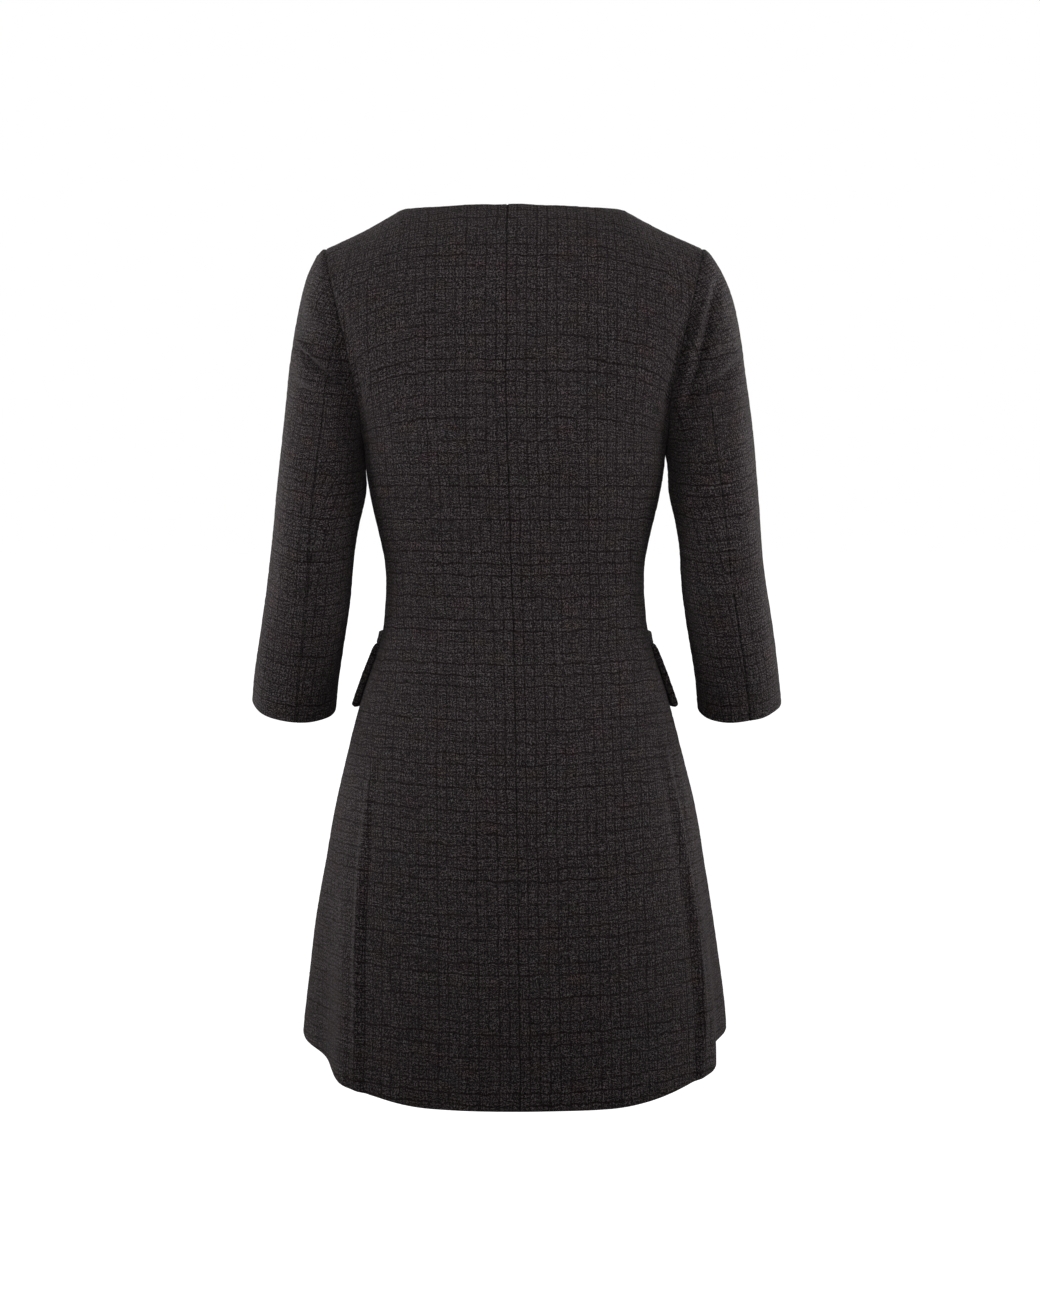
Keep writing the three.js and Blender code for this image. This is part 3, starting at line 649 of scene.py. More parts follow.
def panel_point(part, hand, across, level):
    """A panel's point. across: 0 centre line, 1 side seam or armhole, below 0 the lap. level: 0
    hem, 1 underarm, 1.5 chest, 2 top edge."""
    across, level = np.broadcast_arrays(np.asarray(across, float), np.asarray(level, float))
    chest = np.minimum(level, 1.5)
    cut, cut_z = armhole_turn(part, np.maximum(chest - 1, 0))
    cut = np.where(chest > 1, cut, math.pi / 2)
    turn = hand * (across * math.pi / 2 - (math.pi / 2 - cut) * np.abs(across) ** EDGE_PULL)
    flat_z = lerp(HEM[-1], UNDERARM_Z, chest)
    row = torso_at(np.where(chest > 1, cut_z, flat_z))
    turn = np.where(across < 0, hand * np.arctan2(across * LAP, row["side"] - row["front"]), turn)
    z = np.where(chest > 1, cut_z, lerp(hem_at(part, turn), UNDERARM_Z, chest))
    point = body_point(part, turn, z)
    if not (level > 1.5).any():
        return point

    below = panel_point(part, hand, across, np.full_like(level, 1.5 - CHEST_STEP))
    share = np.where(across < 0, across * LAP * NECK_SHARE / NECK["half"], across)
    top = top_point(part, hand * share)
    reach = SHOULDER_PULL * np.linalg.norm(top - point, axis=-1, keepdims=True)
    start = point - below
    start = start / np.maximum(np.linalg.norm(start, axis=-1, keepdims=True), 1e-6) * reach
    t = (2 * (level - 1.5))[..., None]
    over = hermite(point, start, top, top_run(part, share) * reach, t)
    return np.where(level[..., None] > 1.5, over, point)


def crease_rise(points, normal, creases):
    """How far the creases of a table push the cloth out or draw it in."""
    rise = np.zeros(points.shape[:-1])
    xz = points[..., [0, 2]]
    for side, line, width, trough, swell in creases:
        line = np.array(line, float)
        legs = np.linalg.norm(np.diff(line, axis=0), axis=1)
        starts = np.concatenate([[0], np.cumsum(legs)])
        best = np.full(xz.shape[:-1], 1e9)
        off, along = np.zeros_like(best), np.zeros_like(best)
        for a, b, leg, start in zip(line[:-1], line[1:], legs, starts):
            way = (b - a) / leg
            here = (xz - a) @ way
            foot = np.clip(here, 0, leg)
            away = np.linalg.norm(xz - a - foot[..., None] * way, axis=-1)
            side_off = (xz - a) @ np.array([-way[1], way[0]])
            closer = away < best
            best = np.where(closer, away, best)
            off = np.where(closer, np.copysign(away, side_off), off)
            along = np.where(closer, (start + foot) / starts[-1], along)
        fade = np.sin(math.pi * np.clip(along * 0.94 + 0.03, 0, 1)) ** 0.7
        beside = bell(off - math.copysign(1.7 * width, swell), width)
        shape = abs(swell) * beside - trough * bell(off, width)
        rise += fade * shape * smoothstep(side * normal[..., 1], 0.12, 0.55)
    return rise


def sway_rise(theta, z, height, seed):
    """Slow unevenness of the hanging cloth: a few waves round and down, the same on every run."""
    chance = np.random.default_rng(seed)
    rise = 0
    for count in (2, 3, 4, 5, 6, 7, 8, 9):
        pitch = chance.uniform(90, 260)
        phase = chance.uniform(0, 2 * math.pi)
        rise = rise + np.sin(count * theta + 2 * math.pi * z / pitch * chance.choice([-1, 1]) + phase)
    return height * rise / 3


SWAY = 0.55
ARMHOLE_CALM = 16        # width beside an armhole without creases


def body_rise(points, normal, u, v):
    theta = np.arctan2(points[..., 0], points[..., 1])
    at_armhole = smoothstep(np.abs(u), 1 - ARMHOLE_CALM / PANEL_WIDTH, 1) * smoothstep(v, 0.97, 1.0)
    return (1 - at_armhole) * (crease_rise(points, normal, BODY_CREASES)
                               + sway_rise(theta, points[..., 2], SWAY, 3))


def panel_cloth(part, hand, level_at, column_at):
    """The flat place of a panel's points: sideways from the centre line, and down from the
    underarm along each column, as the grain runs."""
    def cloth_at(points, u, v, run_u, run_v):
        foot = np.array([np.interp(level_at, v[0], column) for column in run_v])[:, None]
        middle = np.array([np.interp(column_at, u[:, 0], row) for row in run_u.T])[None]
        return np.stack([hand * (run_u - middle) + BOLT["front"] * (part < 0), run_v - foot], -1)

    return cloth_at


def joined(*stretches):
    """Several stretches of places as one rising list without repeats."""
    return np.unique(np.round(np.concatenate(stretches), 9))


PANEL_LENGTH = 617       # hem to underarm, and then to the chest and over the shoulder
CHEST_LENGTH, TOP_LENGTH = 120, 135
PANEL_WIDTH = 250
UNDERARM_REST = 1.036    # the rows below this level would lie on top of each other
lower = places(PANEL_LENGTH, 2.5, last=(0, 2.5))
armhole = 1 + places(CHEST_LENGTH, 2.4, (0, 2.4), (0, 2.4)) / 2
armhole = armhole[(armhole < 1.001) | (armhole > UNDERARM_REST)]
shoulder = 1.5 + places(TOP_LENGTH, 2.4, first=(0, 2.4)) / 2
LEVELS = joined(lower, armhole, shoulder)
INNER_CLOSE = (0, 1.2, 2.6, 12)
HEM_CLOSE = (0, 1.2, 2.6, 14, TURN_UP - 2, TURN_UP + 2, TURN_UP + 10)
INNER_LEVELS = joined(
    places(PANEL_LENGTH, 9, HEM_CLOSE, (0, 9)),
    1 + places(CHEST_LENGTH, 9, (0, 9), (0, 9)) / 2,
    1.5 + places(TOP_LENGTH, 8, (0, 9), HEM_CLOSE) / 2)
ACROSS = joined(places(PANEL_WIDTH, 2.15), [NECK_SHARE])
INNER_ACROSS = joined(places(PANEL_WIDTH, 8, INNER_CLOSE, INNER_CLOSE), [NECK_SHARE])


def armhole_sink(u, v):
    """The cap of a sleeve is eased into its armhole, which sinks less than the other seams."""
    return 1 - 0.6 * smoothstep(np.abs(u), 0.8, 0.95) * smoothstep(v, 0.98, 1.04)


def neck_fold(u):
    """1 along the neckline and 0 along the shoulder seam."""
    return 1 - smoothstep(np.abs(u), NECK_SHARE - 0.01, NECK_SHARE + 0.01)


for hand, side in ((1, "left"), (-1, "right")):
    back, flat = sew(
        f"back_panel_{side}",
        lambda u, v: panel_point(1, hand, u, v), -hand,
        (ACROSS, LEVELS), (INNER_ACROSS, INNER_LEVELS),
        lambda u, v: (0, 0, 1, neck_fold(u)),
        panel_cloth(1, hand, 1, 0), body_rise, sink_share=armhole_sink)
    declare(back, flat, f"back_bodice_{side}", f"back_skirt_{side}")

# ---- Front panels -------------------------------------------------------------------------------
# Two fronts, shaped over the bust, that meet at the centre and overlap by 22 mm on each side of
# it. The wearer's right front lies on top and carries the buttonholes.
# Their front edges are turned in like the neckline.

LAP_RISE = 3.4
LAP_EASE = 34
LAP_PLACES = places(LAP, 2.2, last=(0, 2.2)) - 1
INNER_LAP = places(LAP, 7, (0, 1.2, 2.6), (0, 7)) - 1


def front_place(hand):
    def place(u, v):
        point = panel_point(-1, hand, u, v)
        if hand < 0:
            point[..., 1] -= LAP_RISE * (1 - smoothstep(-point[..., 0], LAP + 4, LAP + 4 + LAP_EASE))
        return point

    return place


for hand, side in ((1, "left"), (-1, "right")):
    front, flat = sew(
        f"front_panel_{side}",
        front_place(hand), hand,
        (joined(LAP_PLACES, ACROSS[ACROSS > 0.006]), LEVELS),
        (joined(INNER_LAP, INNER_ACROSS[INNER_ACROSS > 0.02]), INNER_LEVELS),
        lambda u, v: (1, 0, 1, neck_fold(u)),
        panel_cloth(-1, hand, 1, 0), body_rise, sink_share=armhole_sink)
    declare(front, flat, f"front_bodice_{side}", f"front_skirt_{side}")

# ---- Sleeves ------------------------------------------------------------------------------------
# Three-quarter sleeves, each of an upper and an under piece sewn along the back of the arm and
# inside its front. The cap is set smoothly into the armhole, and the cuff is turned in.

SLEEVE_COLUMNS = ("innerX", "innerZ", "outerX", "outerZ", "mid", "deep", "tilt", "rightOut")
SLEEVE = (
    (149.7, -215, 183.5, -26, 4, 54, 0, 0),
    (150.1, -221, 189, -29, 4.5, 54.5, 0, 0.3),
    (149.8, -228, 198, -43, 5, 55.5, 0, 1),
    (149.2, -237, 206.5, -66, 5.5, 56, 0, 3),
    (148.2, -247, 213.3, -95, 6, 56, 0, 4.5),
    (147.4, -258, 218.7, -127, 6.5, 55.5, 0, 5.5),
    (148.9, -270, 223.6, -163, 7, 54.5, 0, 5.5),
    (152, -284, 228.3, -202, 8, 53.5, 0, 5.5),
    (155.5, -300, 233, -242, 8.5, 52.5, 0, 5),
    (159, -320, 237, -280, 8, 51.5, 1, 4.5),
    (162, -344, 241.5, -318, 6, 50.5, 2, 3.5),
    (165, -370, 247, -353, 2, 49.5, 5, 3.5),
    (169.5, -398, 254, -388, -5, 48, 8, 3.5),
    (175, -427, 260.5, -421, -13, 46.5, 11, 3.5),
    (180.5, -457, 265.5, -450, -21, 45, 14, 3.5),
    (184, -485.5, 269, -474.5, -29, 43.5, 16, 3.5),
)
SLEEVE_RINGS = len(SLEEVE) - 1
CAP_RINGS = 6
BACK_SEAM, FRONT_SEAM = 90, -60
SEAM_TURN = {1: -10, -1: 7}
SLEEVE_LENGTH = 440
SLEEVE_ROUND = {"upper": 180, "under": 130}

SLEEVE_CREASES = {
    1: (
        (1, ((226, -112), (207, -128), (190, -143), (174, -155), (150, -165)), 3.8, 8.0, -5.0),
        (1, ((228, -146), (210, -160), (190, -174), (160, -184)), 5.5, 3.6, -2.6),
        (1, ((214, -84), (200, -100), (188, -112)), 7, 1.6, -1.2),
        (1, ((158, -258), (178, -250), (204, -246)), 7, 2.4, 1.6),
        (1, ((164, -314), (190, -330), (224, -332)), 7, 3.2, 2.0),
        (1, ((172, -346), (202, -364), (236, -360)), 7, 2.2, 1.4),
        (1, ((192, -416), (214, -432), (246, -428)), 9, 1.8, 1.2),
        (-1, ((214, -112), (196, -140), (176, -162)), 6, 3.6, -2.4),
        (-1, ((162, -320), (196, -312), (234, -322)), 7, 3.4, 2.2),
        (-1, ((170, -354), (204, -342), (242, -350)), 7, 2.8, 1.8),
        (-1, ((184, -386), (212, -378), (246, -388)), 8, 1.8, 1.2),
    ),
    -1: (
        (1, ((-194, -62), (-184, -104), (-175, -140), (-163, -188)), 5, 6.5, 4.4),
        (1, ((-218, -136), (-198, -154), (-180, -168), (-156, -180)), 5.0, 5.4, 3.8),
        (1, ((-226, -112), (-208, -124), (-192, -132)), 7, 2.0, 1.4),
        (1, ((-228, -192), (-202, -204), (-172, -200)), 8, 2.0, 1.3),
        (1, ((-160, -288), (-188, -278), (-220, -284)), 8, 2.4, -1.5),
        (1, ((-168, -334), (-198, -346), (-232, -338)), 7, 3.0, 1.9),
        (1, ((-182, -394), (-214, -406), (-248, -398)), 9, 1.9, 1.2),
        (-1, ((-212, -114), (-194, -142), (-176, -164)), 6, 3.4, 2.2),
        (-1, ((-166, -328), (-198, -318), (-236, -326)), 7, 3.4, -2.0),
        (-1, ((-174, -362), (-206, -352), (-244, -360)), 7, 2.7, -1.7),
    ),
}
sleeve_at = curves(SLEEVE_COLUMNS, SLEEVE, range(len(SLEEVE)))


def armhole_point(hand, angle):
    """The armhole as a ring: 0 underarm, 90 back, 180 shoulder."""
    wrapped = np.mod(angle + 180, 360) - 180
    level = 1 + np.abs(wrapped) / 180
    back = panel_point(1, hand, np.ones_like(level), level)
    front = panel_point(-1, hand, np.ones_like(level), level)
    return np.where((wrapped >= 0)[..., None], back, front)


def ring_point(hand, angle, ring):
    row = sleeve_at(ring)
    out = row["rightOut"] if hand < 0 else 0
    inner = np.stack(np.broadcast_arrays(hand * (row["innerX"] + out), row["mid"], row["innerZ"]), -1)
    outer = np.stack(np.broadcast_arrays(hand * (row["outerX"] + out), row["mid"], row["outerZ"]), -1)
    lean = np.radians(row["tilt"])
    deep = np.stack(np.broadcast_arrays(0.0, row["deep"] * np.cos(lean), -row["deep"] * np.sin(lean)), -1)
    turn = np.radians(angle)[..., None]
    return (inner + outer) / 2 - (outer - inner) / 2 * np.cos(turn) + deep * np.sin(turn)


def sleeve_point(hand, angle, ring):
    angle, ring = np.broadcast_arrays(angle, ring)
    turned = angle + SEAM_TURN[hand] * smoothstep(ring, CAP_RINGS, SLEEVE_RINGS)
    fade = (1 - smoothstep(ring, 0, CAP_RINGS))[..., None]
    own = armhole_point(hand, angle) - ring_point(hand, angle, np.zeros_like(ring))
    return ring_point(hand, turned, ring) + own * fade


def sleeve_rise(hand):
    def rise(points, normal, u, v):
        calm = smoothstep(v, 0, 1.2)
        around = np.radians(u) + 0 * v
        return calm * (crease_rise(points, normal, SLEEVE_CREASES[hand])
                       + sway_rise(around, points[..., 2] + 0 * u, 0.5, 5 + hand))

    return rise


def sleeve_cloth(hand, start):
    """Sideways as far round as on a full ring of the arm, and up from the cuff."""
    def cloth_at(points, u, v, run_u, run_v):
        full = np.argmin(np.abs(v[0] - CAP_RINGS))
        kept = np.arange(v.shape[1]).clip(full)
        first = BOLT["sleeve"] + BOLT_STEP["sleeve"] * hand + start * 0.8
        return np.stack([first + run_u[:, kept], run_v[:, -1:] - run_v], -1)

    return cloth_at


for hand, side in ((1, "left"), (-1, "right")):
    for kind, start, stop in (("upper", BACK_SEAM, 360 + FRONT_SEAM), ("under", FRONT_SEAM, BACK_SEAM)):
        width = SLEEVE_ROUND[kind]
        angles = start + (stop - start) * places(width, 2.2)
        inner_angles = start + (stop - start) * places(width, 8, INNER_CLOSE, INNER_CLOSE)
        rings = SLEEVE_RINGS * places(SLEEVE_LENGTH, 2.2)
        inner_rings = SLEEVE_RINGS * places(SLEEVE_LENGTH, 8, INNER_CLOSE, HEM_CLOSE)
        sleeve, flat = sew(
            f"{kind}_sleeve_cloth_{side}",
            lambda u, v: sleeve_point(hand, u, v), hand,
            (angles, rings), (inner_angles, inner_rings),
            lambda u, v: (0, 0, 0, 1),
            sleeve_cloth(hand, start), sleeve_rise(hand),
            sink_share=lambda u, v: lerp(0.4, 1, smoothstep(v, 0.15, 0.5)) + 0 * u)
        declare(sleeve, flat, f"{kind}_sleeve_{side}")

# ---- Armhole seams ------------------------------------------------------------------------------
# Inside, behind each armhole seam, lie the trimmed seam allowances of panel and sleeve, bound
# together as one strip and eased towards the sleeve.

ALLOWANCE = {"body": 3.0, "sleeve": 11.0, "thick": 2.2, "under": 0.35, "ends": 176}


def allowance_place(hand):
    """The outer face of the strip, v millimetres into the sleeve, or into the body below 0."""
    def place(u, v):
        u, v = np.broadcast_arrays(np.asarray(u, float), np.asarray(v, float))
        seam = armhole_point(hand, u)
        along = unit(armhole_point(hand, u + 2) - armhole_point(hand, u - 2))
        sleeve_way = unit(sleeve_point(hand, u, np.full_like(u, 0.5)) - seam)
        wrapped = np.mod(u + 180, 360) - 180
        level, inside = 1 + np.abs(wrapped) / 180, np.full_like(u, 0.96)
        body = np.where((wrapped >= 0)[..., None], panel_point(1, hand, inside, level),
                        panel_point(-1, hand, inside, level))
        body_way = unit(body - seam)
        out = unit(np.cross(along, body_way - sleeve_way)) * -hand
        reach = sleeve_way * np.maximum(v, 0)[..., None] + body_way * np.maximum(-v, 0)[..., None]
        return seam + reach - out * (CLOTH + ALLOWANCE["under"])

    return place


for hand, side in ((1, "left"), (-1, "right")):
    round_at = np.linspace(-ALLOWANCE["ends"], ALLOWANCE["ends"], 120)
    across_at = np.linspace(-ALLOWANCE["body"], ALLOWANCE["sleeve"], 8)
    strip, _ = sew(
        f"armhole_allowance_{side}",
        allowance_place(hand), hand,
        (round_at, across_at), (round_at[::2], across_at),
        lambda u, v: (1, 1, 1, 1),
        lambda points, u, v, run_u, run_v: np.stack([BOLT["allowance"] + run_u, run_v], -1),
        None, ALLOWANCE["thick"], ALLOWANCE["thick"] / 2)
    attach(strip, "root")

# ---- Pockets ------------------------------------------------------------------------------------
# On each front, next to the side seam, a narrow folded welt over a flap of doubled tweed. The flap
# is turned at its sides and its lower edge, and stands off the skirt below its seam.

POCKET = {"rear": 88.5, "fore": 38, "slope": 4}
WELT = {"top": -399, "high": 13, "thick": 3.6, "off": 1.2}
FLAP = {"top": -414.5, "high": 64, "thick": 6.4, "off": 0.2}
FLAP_FLARE = {"rear": 3.6, "fore": 1.8}
FLAP_CORNER = {"rear": 3, "fore": 9, "from": 0.78}
POCKET_WIDTH = 150
WELT_END, WELT_CAUGHT = 9, 3.6
FLAP_TUCK, FLAP_CAUGHT = 3.4, 1.6    # how much of the flap runs up under the welt, and how low


def front_raised(hand, turn, z, off):
    """A point of the front, pushed out square to its surface."""
    turn, z, off = np.broadcast_arrays(turn, z, off)
    aside, above = 0.02, 2
    along_turn = body_point(-1, hand * (turn + aside), z) - body_point(-1, hand * (turn - aside), z)
    along_z = body_point(-1, hand * turn, z + above) - body_point(-1, hand * turn, z - above)
    normal = unit(np.cross(along_turn, along_z))
    return body_point(-1, hand * turn, z) + hand * normal * off[..., None]


def pocket_place(hand, height_at, off_at, thick):
    def place(u, v):
        turn = np.radians(lerp(POCKET["fore"], POCKET["rear"], u))
        return front_raised(hand, turn, height_at(u, v), off_at(u, v) + thick)

    return place


def welt_off(u, v):
    """The welt's ends are caught down into the front and the side seam."""
    caught = 1 - smoothstep(np.minimum(u, 1 - u) * POCKET_WIDTH, 0, WELT_END)
    return WELT["off"] - WELT_CAUGHT * caught + 0 * v


def welt_height(u, v):
    return WELT["top"] - POCKET["slope"] * u - WELT["high"] * v


def flap_height(u, v):
    end = np.maximum(0, np.abs(2 * u - 1) - FLAP_CORNER["from"]) / (1 - FLAP_CORNER["from"])
    corner = np.where(u < 0.5, FLAP_CORNER["fore"], FLAP_CORNER["rear"])
    return FLAP["top"] - POCKET["slope"] * u - (FLAP["high"] - corner * end**2) * v


def flap_off(u, v):
    caught = 1 - smoothstep(v * FLAP["high"], -FLAP_TUCK, 5)
    return FLAP["off"] + lerp(FLAP_FLARE["fore"], FLAP_FLARE["rear"], u) * v - FLAP_CAUGHT * caught


def pocket_cloth(hand, row):
    def cloth_at(points, u, v, run_u, run_v):
        first = BOLT["pocket"] + BOLT_STEP["pocket"] * hand
        return np.stack([hand * run_u + first, -run_v + row], -1)

    return cloth_at


for hand, side in ((1, "left"), (-1, "right")):
    across = places(POCKET_WIDTH, 2.1)
    inner_across = places(POCKET_WIDTH, 7, INNER_CLOSE[:3], INNER_CLOSE[:3])
    welt, flat = sew(
        f"welt_cloth_{side}",
        pocket_place(hand, welt_height, welt_off, WELT["thick"]), -hand,
        (across, places(WELT["high"], 1.6)), (inner_across, places(WELT["high"], 4, (0, 1.2), (0, 1.2))),
        lambda u, v: (1, 1, 1, 1),
        pocket_cloth(hand, -190), None, WELT["thick"], WELT["thick"] / 2)
    declare(welt, flat, f"pocket_welt_{side}")
    tuck, length = FLAP_TUCK / FLAP["high"], FLAP["high"] + FLAP_TUCK
    down = places(length, 2.1) * (1 + tuck) - tuck
    inner_down = places(length, 7, (0, 1.2, 2.6), (0, 1.2, 2.6)) * (1 + tuck) - tuck
    flap, flat = sew(
        f"flap_cloth_{side}",
        pocket_place(hand, flap_height, flap_off, FLAP["thick"]), -hand,
        (across, down), (inner_across, inner_down),
        lambda u, v: (1, 1, 0, 1),
        pocket_cloth(hand, -205), None, FLAP["thick"], FLAP["thick"] / 2)
    declare(flap, flat, f"pocket_flap_{side}")

# ---- Buttons ------------------------------------------------------------------------------------
# Six near-black buttons with a low shine, each turned with a raised rim round a dished middle, drilled with
# four holes and sewn down flat with two bars of thread. Each lies on the end of a buttonhole in
# the top front, cut across the edge and worked all round in whipped stitches.

BUTTONS = {"count": 6, "top": -98, "step": 108, "radius": 11.5, "thick": 4.2, "rim": 1.2, "off": 0.9}
# Radius as a share of the whole one, and height as a share of the thickness.
BUTTON_PROFILE = (
    (0, 0), (0.83, 0), (0.88, 0.03), (0.95, 0.24), (0.99, 0.42), (1, 0.54), (0.995, 0.68),
    (0.98, 0.84), (0.955, 0.94), (0.92, 0.985), (0.88, 1), (0.83, 1), (0.79, 0.985), (0.75, 0.945),
    (0.71, 0.87),
    (0.67, 0.79), (0.63, 0.74), (0.57, 0.715), (0.3, 0.705), (0, 0.70),
)
BUTTON_FACETS = 72
BUTTON_HOLE = {"radius": 0.95, "out": 2.05}
BUTTONHOLE = {"from": 4.0, "to": -21.0, "half": 0.95}
THREAD = 0.34


def make_plastic():
    """Near-black plastic with the faint clouds of horn, polished, with rubbed patches."""
    made, tree, shader = new_material("button", Specular_IOR_Level=0.32)
    place = add_node(tree, "ShaderNodeTexCoord").outputs["Object"]
    clouds = add_node(tree, "ShaderNodeTexNoise",
                      {"Vector": place, "Scale": 190.0, "Detail": 3.0, "Distortion": 1.2})
    rubbed = add_node(tree, "ShaderNodeTexNoise", {"Vector": place, "Scale": 900.0, "Detail": 4.0})
    colour = blend_colour(tree, ramp(tree, clouds.outputs["Fac"], 0.42, 0.68),
                          (0.0085, 0.0068, 0.0075, 1), (0.026, 0.020, 0.019, 1))
    tree.links.new(colour, shader.inputs["Base Color"])
    rough = add_node(tree, "ShaderNodeMapRange",
                     {0: rubbed.outputs["Fac"], 1: 0.3, 2: 0.7, 3: 0.22, 4: 0.42})
    tree.links.new(rough.outputs[0], shader.inputs["Roughness"])
    bump = add_node(tree, "ShaderNodeBump",
                    {"Strength": 0.12, "Distance": 0.00005, "Height": rubbed.outputs["Fac"]})
    tree.links.new(bump.outputs[0], shader.inputs["Normal"])
    return made


def make_thread():
    """Dark mercerised thread: two plies twisted together, with a soft shine along the top."""
    made, tree, shader = new_material(
        "thread", Base_Color=(0.006, 0.0045, 0.005, 1), Specular_IOR_Level=0.12)
    place = add_node(tree, "ShaderNodeTexCoord").outputs["Object"]
    plies = add_node(tree, "ShaderNodeTexNoise", {"Vector": place, "Scale": 2600.0, "Detail": 2.0})
    colour = blend_colour(tree, plies.outputs["Fac"], (0.0035, 0.0026, 0.003, 1), (0.012, 0.0095, 0.0105, 1))
    tree.links.new(colour, shader.inputs["Base Color"])
    rough = add_node(tree, "ShaderNodeMapRange", {0: plies.outputs["Fac"], 1: 0.2, 2: 0.8, 3: 0.6, 4: 0.85})
    tree.links.new(rough.outputs[0], shader.inputs["Roughness"])
    return made


plastic, thread = make_plastic(), make_thread()


def make_stitch_tree():
    """Stitches along a path of edges. Each is a short bowed length of thread, turned from the
    path by an angle, and its back faces the way that the path's attribute "up" points."""
    tree, given, result, keys = new_group("stitches", [
        ("Geometry", "NodeSocketGeometry", None),
        ("Pitch", "NodeSocketFloat", 0.0008), ("Length", "NodeSocketFloat", 0.002),
        ("Thread", "NodeSocketFloat", 0.0004), ("Turn", "NodeSocketFloat", 90.0),
        ("Uneven", "NodeSocketFloat", 0.15), ("Seed", "NodeSocketInt", 3),
        ("Material", "NodeSocketMaterial", None),
    ], [("Geometry", "NodeSocketGeometry")], kind="GeometryNodeTree")
    path = add_node(tree, "GeometryNodeMeshToCurve", {"Mesh": given.outputs["Geometry"]})
    dots = add_node(tree, "GeometryNodeResampleCurve",
                    {"Curve": path.outputs[0], "Length": given.outputs["Pitch"]}, mode="LENGTH")
    tangent = add_node(tree, "GeometryNodeInputTangent").outputs[0]
    up = add_node(tree, "GeometryNodeInputNamedAttribute", {"Name": "up"}, data_type="FLOAT_VECTOR")
    along = add_node(tree, "FunctionNodeAlignRotationToVector", {"Vector": tangent}, axis="X")
    facing = add_node(tree, "FunctionNodeAlignRotationToVector",
                      {"Rotation": along.outputs[0], "Vector": up.outputs[0]}, axis="Z", pivot_axis="X")

    # Each stitch is turned and sized a little by chance.
    chance = add_node(tree, "FunctionNodeRandomValue",
                      {0: (-1, -1, -1), 1: (1, 1, 1), "Seed": given.outputs["Seed"]},
                      data_type="FLOAT_VECTOR")
    parts = add_node(tree, "ShaderNodeSeparateXYZ", {0: chance.outputs[0]})
    swing = calc(tree, "MULTIPLY", calc(tree, "MULTIPLY", parts.outputs[0], given.outputs["Uneven"]), 30.0)
    turn = calc(tree, "RADIANS", calc(tree, "ADD", given.outputs["Turn"], swing))
    spin = add_node(tree, "FunctionNodeAxisAngleToRotation", {"Axis": (0, 0, 1), "Angle": turn})
    turned = add_node(tree, "FunctionNodeRotateRotation",
                      {0: facing.outputs[0], 1: spin.outputs[0]}, rotation_space="LOCAL")
    stretch = calc(tree, "ADD", 1.0, calc(tree, "MULTIPLY", parts.outputs[1], given.outputs["Uneven"]))
    size = add_node(tree, "ShaderNodeCombineXYZ", {0: stretch, 1: 1.0, 2: stretch})

    # One stitch: an arc as long as the stitch, swept by a round thread.
    bow = add_node(tree, "GeometryNodeCurveQuadraticBezier", {"Resolution": 6})
    for label, reach, height in (("Start", -0.5, -0.9), ("Middle", 0.0, 1.2), ("End", 0.5, -0.9)):
        x = calc(tree, "MULTIPLY", given.outputs["Length"], reach)
        z = calc(tree, "MULTIPLY", given.outputs["Thread"], height)
        corner = add_node(tree, "ShaderNodeCombineXYZ", {0: x, 2: z})
        tree.links.new(corner.outputs[0], bow.inputs[label])
    radius = calc(tree, "MULTIPLY", given.outputs["Thread"], 0.5)
    ring = add_node(tree, "GeometryNodeCurvePrimitiveCircle", {"Resolution": 6, "Radius": radius})
    stitch = add_node(tree, "GeometryNodeCurveToMesh",
                      {"Curve": bow.outputs[0], "Profile Curve": ring.outputs["Curve"], "Fill Caps": True})
    row = add_node(tree, "GeometryNodeInstanceOnPoints",
                   {"Points": dots.outputs[0], "Instance": stitch.outputs[0],
                    "Rotation": turned.outputs[0], "Scale": size.outputs[0]})
    real = add_node(tree, "GeometryNodeRealizeInstances", {0: row.outputs[0]})
    dyed = add_node(tree, "GeometryNodeSetMaterial",
                    {"Geometry": real.outputs[0], "Material": given.outputs["Material"]})
    tree.links.new(dyed.outputs[0], result.inputs[0])
    return tree, keys


stitch_tree, stitch_keys = make_stitch_tree()


def sew_stitches(name, paths, **sizes):
    """Stitches along several paths, each a list of (point, up) in millimetres, as one mesh."""
    mesh = bpy.data.meshes.new(name + " path")
    points, ups, edges = [], [], []
    for path in paths:
        start = len(points)
        points += [tuple(0.001 * c for c in point) for point, way in path]
        ups += [way for point, way in path]
        edges += [(start + i, start + i + 1) for i in range(len(path) - 1)]
    mesh.from_pydata(points, edges, [])
    facing = mesh.attributes.new("up", "FLOAT_VECTOR", "POINT")
    facing.data.foreach_set("vector", np.array(ups, float).ravel())
    guide = add_object(name + " path", mesh)
    needle = guide.modifiers.new("stitches", "NODES")
    needle.node_group = stitch_tree
    for label, value in {"Material": thread, **sizes}.items():
        needle[stitch_keys[label]] = value
    guide.update_tag()
    sewn = bpy.data.meshes.new_from_object(guide.evaluated_get(bpy.context.evaluated_depsgraph_get()))
    sewn.name = name
    bpy.data.objects.remove(guide)
    sewn.materials.clear()
    sewn.materials.append(thread)
    sewn.polygons.foreach_set("use_smooth", [True] * len(sewn.polygons))
    piece = add_object(name, sewn)
    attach(piece, "root")


def front_edge(z):
    """The point of the smooth centre front at a height."""
    column = panel_point(-1, -1, 0.0, np.linspace(0, 2, 4001))
    return Vector((0, float(np.interp(z, column[:, 2], column[:, 1])), z))


def button_place(index):
    """The middle of a button's foot, and the way its face looks."""
    z = BUTTONS["top"] - index * BUTTONS["step"]
    slope = (front_edge(z + BUTTONS["radius"]) - front_edge(z - BUTTONS["radius"])).normalized()
    normal = Vector((0, -slope.z, slope.y))
    return front_edge(z) + Vector((0, -LAP_RISE, 0)) + BUTTONS["off"] * normal, normal


